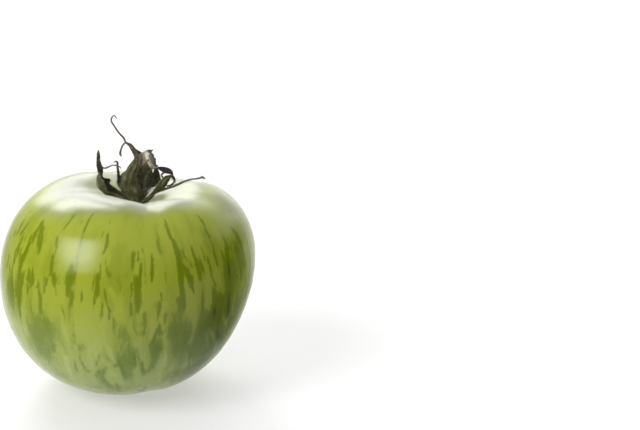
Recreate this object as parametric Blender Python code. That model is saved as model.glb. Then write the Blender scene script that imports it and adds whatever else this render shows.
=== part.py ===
"""A green striped tomato that rests on its blossom end, with its dried calyx and a cut piece of stalk.

Two solids. The fruit is one body: a round, slightly lopsided plan, broad low shoulders, a pit round
the stalk with shallow creases that run out of it, a dimpled blossom scar underneath and a small flat
spot where it rests. The calyx stands in the pit: a ribbed stub of stalk that bends to its cut end,
and the withered sepals that grew from its foot, all grown together as one body.

Lengths are in millimetres here and MM turns them into metres. The origin is in the rest spot. The
stalk's pit is STEM_X to the right of it, and the side that shows best faces -Y.
"""

import math

import bmesh
import bpy
from mathutils import Vector

MM = 0.001

# The fruit: a radius round its heart that depends on the angle down from the stalk (colatitude) and
# on the bearing round the stalk's axis.
HEART_HEIGHT = 25.8
STEM_X = 5.0
MEAN_RADIUS = 32.1
TAPER = 0.153
POLE_FLATTENING = -0.138
SHOULDER_DROP = -0.128
FLANK_FULLNESS = 0.149
SHOULDER_FULLNESS = 0.324
LOPSIDED = -0.121
LOPSIDED_BELOW = 0.089
BELLY_SHIFT = 3.5
BELLY_POWER = 6

PIT_DEPTH = 5.9
PIT_SPREAD = 0.45
SCAR_DEPTH = 1.2
SCAR_SPREAD = 0.2

# Creases that run out of the stalk's pit and meet again at the scar: bearing, spread, depth.
CREASES = (
    (math.radians(-84), 0.24, 1.5),
    (math.radians(-25), 0.30, 0.5),
    (math.radians(48), 0.30, 0.9),
    (math.radians(118), 0.30, 0.8),
    (math.radians(185), 0.35, 0.8),
)
CREASE_TOP = (0.50, 0.40)
CREASE_FOOT = (2.70, 0.35)
CREASE_FOOT_SHARE = 0.45
CREASE_FLANK_SHARE = 0.08
POLE_FADE = 0.25

FRUIT_SEGMENTS = 72
FRUIT_RINGS = 40

# The stalk's stub, from the foot in the pit to the cut: place from the pit's centre, and radius.
STALK_SIDES = 20
STALK_RIBS = 5
STALK_RIB_DEPTH = 0.07
STALK_STATIONS = (
    ((-0.5, -0.2, 0.65), 0.7),
    ((-0.5, -0.2, 0.90), 1.9),
    ((-0.5, -0.2, 1.35), 3.1),
    ((-0.5, -0.2, 2.00), 3.7),
    ((-0.55, -0.2, 2.70), 3.5),
    ((-0.7, -0.2, 3.60), 3.05),
    ((-0.85, -0.2, 4.90), 2.75),
    ((-0.8, -0.2, 6.40), 2.5),
    ((-0.45, -0.3, 8.10), 2.35),
    ((0.2, -0.4, 9.60), 2.3),
    ((1.4, -0.5, 11.00), 2.25),
    ((3.0, -0.6, 12.05), 2.25),
)

# Sepals: each has the way its inner face looks at the root, how far its margins curl in, the twist
# over its length, and the points it passes, as place from the pit's centre and width there.
BLADE_THICKNESS = 0.62
THINNEST = 0.66
BLADE_COLUMNS = 5
STATION_STEP = 0.9
SEPALS = {
    "front_tall": {
        "facing": (0.25, 1.0, 0.0),
        "cup": 0.30,
        "twist": 0.0,
        "points": (
            ((-1.3, -1.4, 2.6), 3.2),
            ((-2.6, -2.9, 4.1), 5.0),
            ((-3.2, -3.8, 6.4), 4.5),
            ((-2.7, -3.8, 9.2), 2.7),
            ((-1.8, -3.4, 11.3), 1.5),
            ((-1.4, -3.0, 12.7), 1.1),
            ((-2.0, -2.4, 14.0), 1.0),
            ((-3.0, -1.8, 15.3), 0.9),
            ((-4.0, -1.4, 16.0), 0.5),
            ((-4.6, -1.3, 17.1), 0.3),
            ((-5.8, -1.2, 18.6), 0.3),
            ((-6.9, -1.0, 20.1), 0.3),
            ((-7.6, -0.9, 21.4), 0.3),
            ((-7.5, -0.8, 22.3), 0.3),
            ((-6.9, -0.6, 22.7), 0.3),
            ((-6.3, -0.4, 22.1), 0.2),
        ),
    },
    "back_tall": {
        "facing": (0.0, -1.0, 0.2),
        "cup": 0.20,
        "twist": 0.0,
        "points": (
            ((0.7, 1.4, 1.8), 3.0),
            ((1.5, 3.8, 3.6), 3.2),
            ((1.6, 4.8, 6.6), 2.4),
            ((1.0, 4.4, 9.8), 1.5),
            ((-0.5, 3.2, 12.2), 1.1),
            ((-2.1, 1.2, 13.9), 0.9),
            ((-3.6, -0.2, 15.3), 0.6),
            ((-4.6, -0.9, 15.3), 0.4),
            ((-5.2, -1.2, 13.9), 0.4),
            ((-5.4, -1.0, 12.8), 0.4),
            ((-5.1, -0.8, 12.2), 0.3),
        ),
    },
    "left_cup": {
        "facing": (0.1, -0.55, 0.8),
        "cup": 0.45,
        "twist": 0.0,
        "points": (
            ((-1.9, -1.1, 2.6), 2.2),
            ((-4.3, -2.7, 3.35), 2.8),
            ((-6.5, -3.4, 4.1), 3.6),
            ((-8.2, -3.7, 5.0), 4.6),
            ((-9.3, -3.7, 6.5), 4.8),
            ((-9.8, -3.4, 7.9), 3.7),
            ((-10.3, -3.2, 8.8), 1.8),
            ((-10.5, -3.1, 10.0), 1.4),
            ((-10.8, -3.0, 11.9), 1.0),
            ((-10.8, -2.9, 13.1), 0.9),
            ((-10.8, -2.9, 14.4), 0.3),
        ),
    },
    "left_thread": {
        "facing": (0.0, 0.0, 1.0),
        "cup": 0.0,
        "twist": 0.0,
        "points": (
            ((-10.5, -3.1, 9.7), 0.5),
            ((-9.7, -2.6, 9.7), 0.4),
            ((-8.8, -2.0, 9.7), 0.3),
            ((-7.8, -1.4, 9.9), 0.3),
            ((-6.7, -0.9, 9.7), 0.3),
            ((-6.0, -0.6, 9.2), 0.3),
        ),
    },
    "back_spike": {
        "facing": (0.2, -0.1, 1.0),
        "cup": 0.25,
        "twist": 0.0,
        "points": (
            ((-1.8, 1.0, 1.9), 2.2),
            ((-4.2, 2.8, 2.9), 1.9),
            ((-5.7, 4.1, 4.4), 1.3),
            ((-6.1, 4.7, 6.4), 0.9),
            ((-6.2, 5.0, 8.3), 0.6),
            ((-6.4, 5.0, 9.1), 0.4),
            ((-7.0, 5.0, 9.1), 0.3),
        ),
    },
    "back_left": {
        "facing": (0.1, -0.3, 1.0),
        "cup": 0.25,
        "twist": 0.0,
        "points": (
            ((-1.2, 1.5, 1.9), 2.2),
            ((-3.2, 4.2, 3.4), 1.9),
            ((-4.2, 5.6, 5.2), 1.4),
            ((-4.3, 5.8, 6.6), 1.0),
            ((-3.6, 5.5, 7.6), 0.4),
        ),
    },
    "right_cup": {
        "facing": (-0.2, -0.8, 0.6),
        "cup": 0.35,
        "twist": 0.0,
        "points": (
            ((1.0, 1.3, 1.8), 2.6),
            ((2.2, 3.4, 2.6), 3.4),
            ((2.9, 4.8, 4.4), 4.2),
            ((3.0, 5.4, 6.0), 3.4),
            ((3.8, 5.5, 7.2), 1.5),
            ((5.4, 5.2, 7.3), 1.1),
            ((6.9, 4.8, 7.0), 1.1),
            ((7.8, 4.4, 6.5), 0.9),
            ((8.0, 4.0, 5.6), 0.7),
        ),
    },
    "right_curl": {
        "facing": (0.0, -1.0, 0.0),
        "cup": 0.0,
        "twist": 0.0,
        "points": (
            ((6.5, 4.9, 6.9), 0.4),
            ((5.4, 4.5, 6.3), 0.4),
            ((5.0, 4.1, 5.6), 0.4),
            ((5.5, 3.6, 4.9), 0.4),
            ((6.4, 3.3, 5.0), 0.3),
        ),
    },
    "right_loop": {
        "facing": (-0.4, 0.7, 0.4),
        "cup": 0.15,
        "twist": 0.5,
        "points": (
            ((0.7, -1.0, 1.6), 2.6),
            ((2.2, -3.1, 2.9), 2.1),
            ((3.6, -4.3, 4.5), 1.7),
            ((4.8, -4.8, 6.2), 1.5),
            ((5.7, -4.7, 7.7), 1.2),
            ((6.6, -4.3, 8.4), 1.1),
            ((7.6, -3.8, 8.1), 1.0),
            ((8.2, -3.4, 7.1), 0.9),
            ((8.0, -3.1, 6.1), 0.8),
            ((7.2, -2.9, 5.4), 0.7),
            ((6.3, -2.7, 4.9), 0.4),
        ),
    },
    "right_long": {
        "facing": (0.0, -0.5, 1.0),
        "cup": 0.10,
        "twist": 0.0,
        "points": (
            ((1.2, 0.2, 1.8), 1.6),
            ((3.7, 0.9, 2.5), 1.2),
            ((6.2, 1.4, 3.3), 0.9),
            ((8.5, 2.0, 4.0), 0.8),
            ((10.9, 2.8, 4.7), 0.7),
            ((13.2, 3.6, 5.1), 0.6),
            ((15.1, 4.2, 5.4), 0.8),
            ((16.2, 4.4, 5.1), 0.4),
        ),
    },
}


def clear_scene():
    """Remove every object of the open file."""
    for old in list(bpy.data.objects):
        bpy.data.objects.remove(old, do_unlink=True)


def plain_material(name, colour, roughness):
    """A Principled material of one colour, not metallic."""
    material = bpy.data.materials.new(name)
    material.use_nodes = True
    shader = material.node_tree.nodes["Principled BSDF"]
    shader.inputs["Base Color"].default_value = (*colour, 1.0)
    shader.inputs["Roughness"].default_value = roughness
    shader.inputs["Metallic"].default_value = 0.0
    return material


def bell(distance, spread):
    """A smooth hump: 1 in the middle, falling off either side over the spread."""
    return math.exp(-((distance / spread) ** 2))


def crease_depth(colatitude, bearing):
    """Depth of the creases at a direction: deep by the stalk, faint on the flank, seen again below."""
    along = bell(colatitude - CREASE_TOP[0], CREASE_TOP[1])
    along += CREASE_FOOT_SHARE * bell(colatitude - CREASE_FOOT[0], CREASE_FOOT[1])
    along += CREASE_FLANK_SHARE
    fade = (1 - bell(colatitude, POLE_FADE)) * (1 - bell(math.pi - colatitude, POLE_FADE))
    total = 0.0
    for middle, spread, depth in CREASES:
        away = math.remainder(bearing - middle, 2 * math.pi)
        total += depth * bell(away, spread)
    return total * fade * along


def skin_radius(colatitude, bearing):
    """Distance from the fruit's heart to its skin in one direction."""
    c = math.cos(colatitude)
    s = math.sin(colatitude)
    side = math.cos(bearing)
    full = FLANK_FULLNESS * (1 - c) / 2 + SHOULDER_FULLNESS * (1 + c) / 2
    round_form = 1 + TAPER * c + POLE_FLATTENING * c**2 + SHOULDER_DROP * c**3
    radius = MEAN_RADIUS * (round_form + full * (c * s) ** 2)
    radius *= 1 + LOPSIDED * s * side + LOPSIDED_BELOW * s * c * side
    radius += BELLY_SHIFT * s * side * ((1 - c) / 2) ** BELLY_POWER
    radius -= PIT_DEPTH * bell(colatitude, PIT_SPREAD)
    radius -= SCAR_DEPTH * bell(math.pi - colatitude, SCAR_SPREAD)
    return radius - crease_depth(colatitude, bearing)


def skin_point(colatitude, bearing):
    """The skin in one direction, pressed flat where it would pass below the surface it rests on."""
    radius = skin_radius(colatitude, bearing)
    across = radius * math.sin(colatitude)
    height = HEART_HEIGHT + radius * math.cos(colatitude)
    return Vector((STEM_X + across * math.cos(bearing), across * math.sin(bearing), max(height, 0.0)))


def make_fruit():
    """The whole fruit: a sphere of directions, each moved out to the skin."""
    bm = bmesh.new()
    bmesh.ops.create_uvsphere(bm, u_segments=FRUIT_SEGMENTS, v_segments=FRUIT_RINGS, radius=1.0)
    for vertex in bm.verts:
        colatitude = math.acos(max(-1.0, min(1.0, vertex.co.z)))
        bearing = math.atan2(vertex.co.y, vertex.co.x)
        vertex.co = skin_point(colatitude, bearing) * MM
    bmesh.ops.triangulate(bm, faces=bm.faces)
    return finish_object(bm, "fruit")


def finish_object(bm, name):
    """Put a bmesh into a new smooth-shaded object of the scene."""
    mesh = bpy.data.meshes.new(name)
    bm.to_mesh(mesh)
    bm.free()
    mesh.shade_smooth()
    made = bpy.data.objects.new(name, mesh)
    bpy.context.scene.collection.objects.link(made)
    return made


def pit_centre():
    """The bottom of the stalk's pit, where places in the calyx are measured from."""
    return skin_point(0.0, 0.0)


def smooth_between(before, start, end, after, t):
    """A Catmull-Rom curve between start and end, for points or plain numbers."""
    square = t * t
    cube = square * t
    return (
        start * 2.0
        + (end - before) * t
        + (before * 2.0 - start * 5.0 + end * 4.0 - after) * square
        + (start * 3.0 - before - end * 3.0 + after) * cube
    ) * 0.5


def resample(points, step):
    """Points and widths along the smooth route through the given ones, about one step apart."""
    places = [Vector(place) for place, _ in points]
    widths = [width for _, width in points]
    last = len(points) - 1
    route = []
    for i in range(last):
        span = (places[i + 1] - places[i]).length
        count = max(1, round(span / step))
        for k in range(count):
            t = k / count
            around = (max(i - 1, 0), i, i + 1, min(i + 2, last))
            place = smooth_between(*(places[j] for j in around), t)
            width = smooth_between(*(widths[j] for j in around), t)
            route.append((place, width))
    route.append((places[last], widths[last]))
    return route


def directions(route):
    """Unit directions along a route of points."""
    last = len(route) - 1
    return [(route[min(i + 1, last)] - route[max(i - 1, 0)]).normalized() for i in range(last + 1)]


def bridge_rings(bm, rings):
    """Skin a run of vertex rings and close both ends, then triangulate."""
    for lower, upper in zip(rings, rings[1:]):
        for i in range(len(lower)):
            j = (i + 1) % len(lower)
            bm.faces.new((lower[i], lower[j], upper[j], upper[i]))
    bm.faces.new(reversed(rings[0]))
    bm.faces.new(rings[-1])
    bmesh.ops.recalc_face_normals(bm, faces=bm.faces)
    bmesh.ops.triangulate(bm, faces=bm.faces)


def make_stalk(origin):
    """The stub of stalk: a ribbed tube that flares into the foot the sepals grow from."""
    places = [Vector(place) for place, _ in STALK_STATIONS]
    radii = [radius for _, radius in STALK_STATIONS]
    bm = bmesh.new()
    rings = []
    for place, along, radius in zip(places, directions(places), radii):
        right = (Vector((1, 0, 0)) - along * along.x).normalized()
        back = along.cross(right)
        ring = []
        for i in range(STALK_SIDES):
            angle = 2 * math.pi * i / STALK_SIDES
            reach = radius * (1 + STALK_RIB_DEPTH * math.cos(STALK_RIBS * angle))
            spot = place + (right * math.cos(angle) + back * math.sin(angle)) * reach
            ring.append(bm.verts.new((origin + spot) * MM))
        rings.append(ring)
    bridge_rings(bm, rings)
    return finish_object(bm, "calyx")


def blade_ring(place, along, facing, width, cup):
    """A cross-section of a sepal: a thin strip, its margins curled towards the way it faces."""
    across = along.cross(facing)
    inner = []
    outer = []
    for k in range(BLADE_COLUMNS):
        t = 2 * k / (BLADE_COLUMNS - 1) - 1
        middle = place + across * (t * width / 2) + facing * (cup * width * (t * t - 0.4))
        slope = facing - across * (4 * cup * t)
        half = slope.normalized() * (BLADE_THICKNESS / 2)
        inner.append(middle + half)
        outer.append(middle - half)
    return inner + outer[::-1]


def make_blade(name, sepal, origin, collection):
    """A sepal: the strip's cross-section carried along its route, turning as little as it can."""
    route = resample(sepal["points"], STATION_STEP)
    places = [place for place, _ in route]
    facing = Vector(sepal["facing"])
    last = len(route) - 1
    bm = bmesh.new()
    rings = []
    for i, ((place, width), along) in enumerate(zip(route, directions(places))):
        facing = (facing - along * facing.dot(along)).normalized()
        angle = sepal["twist"] * i / last
        turned = facing * math.cos(angle) + along.cross(facing) * math.sin(angle)
        ring = blade_ring(place, along, turned, max(width, THINNEST), sepal["cup"])
        rings.append([bm.verts.new((origin + spot) * MM) for spot in ring])
    bridge_rings(bm, rings)
    blade = finish_object(bm, name)
    bpy.context.scene.collection.objects.unlink(blade)
    collection.objects.link(blade)
    return blade


def grow_together(stalk, collection):
    """Join the sepals to the stalk's foot as one closed body."""
    join = stalk.modifiers.new("grown together", "BOOLEAN")
    join.operation = "UNION"
    join.operand_type = "COLLECTION"
    join.collection = collection
    join.solver = "EXACT"
    scene = bpy.context.evaluated_depsgraph_get()
    joined = bpy.data.meshes.new_from_object(stalk.evaluated_get(scene))
    stalk.modifiers.clear()
    stalk.data = joined
    for blade in list(collection.objects):
        bpy.data.objects.remove(blade, do_unlink=True)
    bpy.data.collections.remove(collection)


def make_calyx():
    """The stub of stalk with all its sepals."""
    origin = pit_centre()
    stalk = make_stalk(origin)
    blades = bpy.data.collections.new("sepals")
    bpy.context.scene.collection.children.link(blades)
    for name, sepal in SEPALS.items():
        make_blade(name, sepal, origin, blades)
    grow_together(stalk, blades)
    stalk.data.name = "calyx"
    return stalk


def main():
    """Build the fruit and its calyx."""
    clear_scene()
    fruit = make_fruit()
    fruit.data.materials.append(plain_material("striped_skin", (0.33, 0.38, 0.05), 0.28))
    calyx = make_calyx()
    calyx.data.materials.clear()
    calyx.data.materials.append(plain_material("dried_calyx", (0.045, 0.045, 0.022), 0.8))


main()
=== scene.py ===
"""A green striped tomato with its withered calyx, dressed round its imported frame.

Laid out as an add-on and run as a script. Lengths are millimetres here, and MM turns them into
metres. The origin is in the spot the fruit rests on, Z is up and the best side faces -Y. Colatitude
is the angle down from the stalk's axis, and bearing the angle round that axis from +X.
"""

import math

import bpy
import numpy as np
from bpy.props import FloatProperty, FloatVectorProperty, IntProperty, PointerProperty
from mathutils import Euler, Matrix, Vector


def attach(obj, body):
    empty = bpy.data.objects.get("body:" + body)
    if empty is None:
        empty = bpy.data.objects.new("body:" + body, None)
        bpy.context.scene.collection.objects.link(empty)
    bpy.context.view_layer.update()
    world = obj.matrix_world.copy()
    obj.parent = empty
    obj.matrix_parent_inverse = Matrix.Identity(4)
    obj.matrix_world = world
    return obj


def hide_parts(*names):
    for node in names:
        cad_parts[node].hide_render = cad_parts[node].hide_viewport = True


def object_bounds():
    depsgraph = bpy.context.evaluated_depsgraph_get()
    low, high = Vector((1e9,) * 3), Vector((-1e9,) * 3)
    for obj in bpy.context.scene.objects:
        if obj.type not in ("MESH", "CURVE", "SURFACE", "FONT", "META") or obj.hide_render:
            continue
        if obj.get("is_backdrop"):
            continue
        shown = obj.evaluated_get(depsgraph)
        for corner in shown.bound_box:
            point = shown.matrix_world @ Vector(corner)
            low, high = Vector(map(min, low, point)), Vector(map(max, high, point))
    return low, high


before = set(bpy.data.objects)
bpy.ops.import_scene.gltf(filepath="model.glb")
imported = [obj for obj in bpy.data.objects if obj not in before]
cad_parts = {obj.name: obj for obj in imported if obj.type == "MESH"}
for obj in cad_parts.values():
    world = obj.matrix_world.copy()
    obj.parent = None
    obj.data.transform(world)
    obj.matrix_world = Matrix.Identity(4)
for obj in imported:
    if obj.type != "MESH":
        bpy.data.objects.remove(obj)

bl_info = {
    "name": "Striped Tomato",
    "version": (1, 0, 0),
    "blender": (4, 5, 0),
    "location": "3D View > Sidebar > Tomato",
    "description": "Builds a green striped tomato and its withered calyx round their packed frame",
    "category": "Add Mesh",
}

CAD_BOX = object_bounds()
BODY = "root"
MM = 0.001

# The fruit's form.

HEART_HEIGHT = 25.8
STEM_X = 5.0
MEAN_RADIUS = 32.1
TAPER = 0.153
POLE_FLATTENING = -0.138
SHOULDER_DROP = -0.128
FLANK_FULLNESS = 0.149
SHOULDER_FULLNESS = 0.324
LOPSIDED = -0.121
LOPSIDED_BELOW = 0.089
BELLY_SHIFT = 3.5
BELLY_POWER = 6
PIT_DEPTH = 5.9
PIT_SPREAD = 0.45
SCAR_DEPTH = 1.2
SCAR_SPREAD = 0.2
# Creases: bearing, spread, depth. The last is a broad saddle in the back of the pit's rim.
CREASES = (
    (math.radians(-84), 0.24, 0.9),
    (math.radians(-25), 0.30, 0.5),
    (math.radians(48), 0.30, 0.9),
    (math.radians(118), 0.30, 0.8),
    (math.radians(185), 0.35, 0.8),
    (math.radians(78), 0.50, 2.2),
)
CREASE_TOP = (0.50, 0.40)
CREASE_FOOT = (2.70, 0.35)
CREASE_FOOT_SHARE = 0.45
CREASE_FLANK_SHARE = 0.08
POLE_FADE = 0.25
FLAT_BLEND = 0.25
SKIN_WAVE = 0.05
SKIN_WAVE_RATES = (5, 26)
SKIN_WAVE_SEED = 21
CLOSER = 0.35

# Dark streaks: strength, then bearing, colatitude and width in degrees at each point of a line.
STREAKS = (
    # left shoulder
    (0.95, (-121.2, 41, 1.0), (-120.9, 46, 1.8), (-120.3, 50.5, 1.2)),
    (0.45, (-120.3, 50.5, 1.2), (-119.6, 58, 1.0), (-118.5, 64, 0.8)),
    (0.60, (-131.9, 44.5, 1.4), (-131.4, 48, 2.0), (-131.7, 51, 1.2)),
    (0.35, (-125.6, 45.5, 1.2), (-123.5, 48.7, 0.8)),
    (1.00, (-148.4, 52.4, 0.8), (-146.2, 54.3, 1.4), (-144.3, 55.3, 1.4), (-144.2, 57.5, 1.3)),
    (1.00, (-144.2, 57.5, 1.3), (-142.5, 60.1, 1.4), (-140.4, 61.2, 1.3), (-139.6, 63.8, 0.8)),
    (0.80, (-144.3, 55, 1.0), (-141.8, 58, 1.2), (-140.2, 61, 0.8)),
    (0.80, (-147.8, 53.5, 1.4), (-147.2, 58.5, 2.6), (-146.4, 61, 1.2)),
    (0.65, (-149.6, 59.5, 1.4), (-147.2, 62.3, 1.0)),
    (1.00, (-148.3, 62, 1.6), (-147.9, 65, 2.6), (-148, 68.8, 1.4)),
    (1.05, (-149.6, 68, 1.4), (-149, 71.5, 2.2), (-148.5, 75.8, 2.4)),
    (0.75, (-157.8, 56.2, 1.2), (-157.7, 57.6, 1.6)),
    (0.75, (-158.1, 58.6, 1.6), (-158, 60.6, 1.8)),
    (0.60, (-155.5, 60.6, 1.2), (-155.3, 61.4, 1.2)),
    (0.60, (-152.6, 60.8, 1.2), (-152.4, 61.8, 1.2)),
    (0.60, (-154.9, 61.8, 1.0), (-154.8, 64.5, 1.2)),
    (0.85, (-155.4, 64.8, 1.0), (-154, 66.8, 2.0)),
    (0.70, (-156.3, 67.2, 1.4), (-156.1, 68.3, 1.4)),
    (0.70, (-153.9, 67.6, 1.2), (-153.8, 68.6, 1.2)),
    (0.65, (-152.1, 65.3, 1.0), (-151.5, 68, 1.6), (-151, 70.3, 1.0)),
    (0.85, (-155.3, 69.6, 1.0), (-154.6, 71.2, 2.0)),
    (0.60, (-164.2, 55.5, 1.2), (-163, 58.5, 2.2), (-162, 61.5, 1.4)),
    (0.55, (-165.2, 61.8, 1.4), (-164.8, 63, 1.2)),
    (0.60, (-133.2, 56.2, 0.9), (-131.2, 59, 1.2), (-130.2, 63.2, 0.9)),
    (0.95, (-131.5, 63.5, 1.2), (-130.6, 67, 1.6), (-130.3, 70, 1.2)),
    # left flank
    (0.75, (-128.7, 70, 1.6), (-128, 72.5, 3.2), (-127.6, 74.3, 1.6)),
    (0.60, (-127.3, 74.8, 1.2), (-126.9, 76.8, 2.0), (-126.5, 78, 1.0)),
    (0.95, (-120.9, 66.3, 2.6), (-120.7, 69, 4.6), (-121, 73, 3.6), (-121.2, 76.5, 2.0)),
    (0.80, (-119.4, 75.5, 1.6), (-119.3, 77.5, 2.6), (-119.5, 80, 1.4)),
    (0.40, (-120.4, 80, 2.0), (-120.3, 84, 2.6), (-120.6, 88, 1.4)),
    (0.60, (-123.7, 81.5, 1.0), (-122.8, 85, 1.8), (-122.5, 89, 1.0)),
    (0.80, (-142.4, 71.7, 1.0), (-142, 74, 2.0)),
    (0.90, (-140.5, 71.2, 1.0), (-140, 73.7, 1.8), (-139.4, 75.2, 2.6), (-140.2, 77.2, 1.6)),
    (0.70, (-140.3, 75.5, 1.2), (-143.2, 75.2, 0.8)),
    (0.85, (-142.3, 77.6, 1.2), (-142, 79, 2.2), (-142, 80.6, 1.2)),
    (0.60, (-136.2, 74.4, 1.2), (-135.9, 76.2, 2.0), (-137.4, 77.3, 0.9)),
    (0.65, (-135.6, 77.8, 1.2), (-134.2, 81, 2.0), (-134, 86, 2.4)),
    (0.55, (-133.1, 72.4, 0.8), (-133, 74.2, 0.8)),
    (0.75, (-131.9, 72.6, 1.0), (-131.7, 74.3, 1.2)),
    (0.75, (-132.6, 75.2, 1.0), (-132.3, 77.2, 1.3)),
    (1.00, (-146.6, 75.5, 3.0), (-147.4, 79, 4.8), (-147.4, 83, 4.4), (-147.2, 87, 2.4)),
    (0.80, (-147.2, 87, 2.4), (-147.2, 91.5, 1.2)),
    (0.90, (-145.9, 75.2, 1.0), (-145.6, 77.5, 1.6), (-146, 80, 1.0)),
    (0.85, (-150, 81.5, 1.2), (-149.8, 83.5, 1.6)),
    (0.75, (-153.7, 78.5, 1.2), (-153.4, 81.5, 2.4), (-153.3, 85, 1.6)),
    (0.55, (-155.2, 73.5, 1.0), (-154.6, 77.8, 1.4)),
    (0.60, (-161.1, 70.7, 1.2), (-160.5, 75, 2.0)),
    (0.45, (-158.7, 73.3, 1.4), (-157.4, 75.2, 1.2)),
    (0.55, (-140.3, 83, 0.9), (-139.8, 87, 1.4)),
    # middle
    (0.40, (-108.7, 37.5, 1.0), (-108.3, 44.8, 1.2)),
    (0.40, (-110.1, 49.6, 1.0), (-109.9, 51.7, 1.0)),
    (0.95, (-107.5, 50.6, 1.0), (-106.7, 54, 1.6), (-107.4, 57.7, 1.0)),
    (0.60, (-106.1, 60.7, 0.9), (-105.4, 63.7, 1.3)),
    (0.65, (-105.5, 64.2, 1.2), (-103.9, 66.3, 2.0)),
    (0.60, (-108.1, 62.7, 1.0), (-107.6, 67.8, 1.2)),
    (0.45, (-110, 65.7, 0.8), (-110.5, 72.5, 1.1)),
    (0.90, (-108.9, 67.2, 1.2), (-108.5, 71, 1.8), (-108.5, 74.3, 2.2)),
    (0.60, (-109.1, 73.8, 1.8), (-109.5, 78.3, 1.4)),
    (0.40, (-110, 78.3, 0.9), (-110, 82.3, 0.9)),
    (0.80, (-115.1, 74.7, 0.8), (-114.8, 77, 1.4), (-115.1, 78.8, 0.8)),
    (0.45, (-115.2, 81.7, 0.8), (-115, 84.2, 1.0)),
    (0.80, (-105.2, 72.6, 1.0), (-104.6, 76, 1.3), (-104, 79, 1.1), (-103, 81, 1.5)),
    (0.80, (-103, 81, 1.5), (-103.4, 84.4, 0.8)),
    (0.65, (-106.1, 78.5, 1.0), (-106.4, 83.5, 1.8)),
    (0.42, (-106.9, 83, 2.0), (-106.4, 88.2, 2.4)),
    (0.42, (-101.6, 84.5, 1.0), (-101.5, 88.3, 1.6)),
    (0.35, (-98.4, 69.5, 1.0), (-98.9, 73.3, 1.2)),
    (0.80, (-93, 57.3, 0.9), (-94.2, 58, 1.5), (-93.8, 60.5, 1.7), (-94, 63, 1.0)),
    (0.60, (-91.7, 56.6, 0.9), (-91.5, 59.7, 1.0)),
    (0.40, (-89.4, 55.4, 1.2), (-89.2, 56.4, 1.2)),
    (0.95, (-90.1, 62, 1.0), (-90.5, 66, 1.5), (-91, 69.8, 2.0)),
    (1.05, (-91.8, 67.7, 1.6), (-91.8, 72, 2.8), (-91.5, 77, 2.6), (-91.3, 80.3, 1.6)),
    (0.65, (-93, 66.8, 0.9), (-92.9, 69.2, 1.1)),
    (0.70, (-94.2, 69.4, 0.9), (-94, 74.2, 1.2)),
    (0.50, (-94.6, 74.8, 1.0), (-94.2, 79, 1.4)),
    (0.70, (-94.4, 78.8, 1.2), (-94.1, 81.8, 1.8)),
    (0.40, (-88.4, 60.7, 0.9), (-88.2, 68.8, 1.1)),
    (1.00, (-85.2, 58.3, 0.8), (-85.1, 63, 1.5), (-85.3, 67.8, 1.0)),
    (0.75, (-85.1, 60.3, 0.8), (-84, 59.3, 0.6)),
    (0.42, (-81.4, 49.2, 2.0), (-81, 55.8, 3.0)),
    (0.40, (-79.2, 65.6, 1.0), (-79, 69.3, 1.2)),
    (0.42, (-77.8, 42, 1.2), (-77.6, 43, 1.2)),
    (0.60, (-81.4, 73.7, 0.8), (-81.2, 76.5, 1.2)),
    (0.50, (-83.9, 77.3, 0.8), (-83.7, 79.2, 1.0)),
    (0.85, (-82.3, 77.8, 1.6), (-82, 79.5, 2.6), (-82.2, 81, 2.2)),
    (0.65, (-82.8, 80, 2.4), (-82.4, 84.5, 2.6)),
    (0.65, (-88.6, 82, 1.8), (-88.3, 86.3, 2.0)),
    (0.50, (-88.2, 86, 2.0), (-88.5, 91.5, 2.4)),
    (0.75, (-81.9, 88, 1.4), (-82, 91.3, 2.4)),
    (0.65, (-83, 90, 1.4), (-84.6, 96, 1.8)),
    (0.60, (-81.6, 90, 1.4), (-80.4, 92.3, 1.0)),
    (0.50, (-79.3, 83.5, 1.4), (-80.4, 88.5, 2.0)),
    # right
    (1.00, (-75, 41.6, 1.0), (-74.7, 44.3, 1.5)),
    (0.70, (-76.3, 44.1, 0.9), (-76.1, 44.9, 0.9)),
    (1.00, (-75, 45.5, 1.4), (-74.8, 48, 2.2), (-74.6, 50.2, 1.4)),
    (1.00, (-74.3, 50.3, 1.2), (-73, 53.8, 1.8)),
    (1.15, (-73.3, 53, 1.8), (-72.3, 58, 3.4), (-72, 64, 3.6), (-71.8, 70, 3.0)),
    (1.05, (-71.8, 70, 3.0), (-71.3, 75.5, 2.6), (-71, 80.3, 2.0)),
    (0.75, (-73.6, 76.8, 1.2), (-72.4, 80.3, 1.6)),
    (0.95, (-70.7, 63, 1.2), (-68.7, 66.3, 2.4), (-67, 69, 2.8), (-66.6, 73, 2.2)),
    (0.95, (-66.6, 73, 2.2), (-65.8, 77, 1.0)),
    (0.60, (-69.6, 56.7, 1.0), (-69.2, 58.7, 1.2), (-68.4, 60.3, 0.9)),
    (0.42, (-66.5, 60.7, 1.0), (-66, 64.1, 1.4)),
    (0.80, (-64.3, 56.2, 0.9), (-64, 60, 1.4)),
    (0.65, (-63.9, 59.8, 1.6), (-63, 64.5, 2.8), (-62.4, 69.4, 2.0)),
    (0.60, (-61.3, 61.6, 1.2), (-60.3, 65, 2.2), (-59.4, 68.6, 1.2)),
    (0.42, (-58.7, 56.2, 1.2), (-58, 62.4, 2.0)),
    (0.60, (-56.5, 61.6, 1.4), (-56, 66, 2.4), (-55.4, 70.5, 1.6)),
    (0.60, (-54.7, 70.7, 1.2), (-53.2, 74.3, 2.0)),
    (0.60, (-51.8, 59.3, 2.0), (-51.5, 64, 3.2), (-50.9, 68.2, 1.0)),
    (1.05, (-51.1, 42, 1.0), (-50.9, 45, 2.0), (-51, 47, 1.0)),
    (0.90, (-51.8, 49.4, 1.2), (-51.5, 52.8, 1.6)),
    (0.60, (-51.4, 52.8, 1.2), (-51.2, 58.4, 1.2)),
    (0.42, (-54.1, 51, 1.2), (-53.9, 52, 1.2)),
    (0.90, (-42, 55.4, 1.2), (-41.6, 60, 1.7)),
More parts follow.
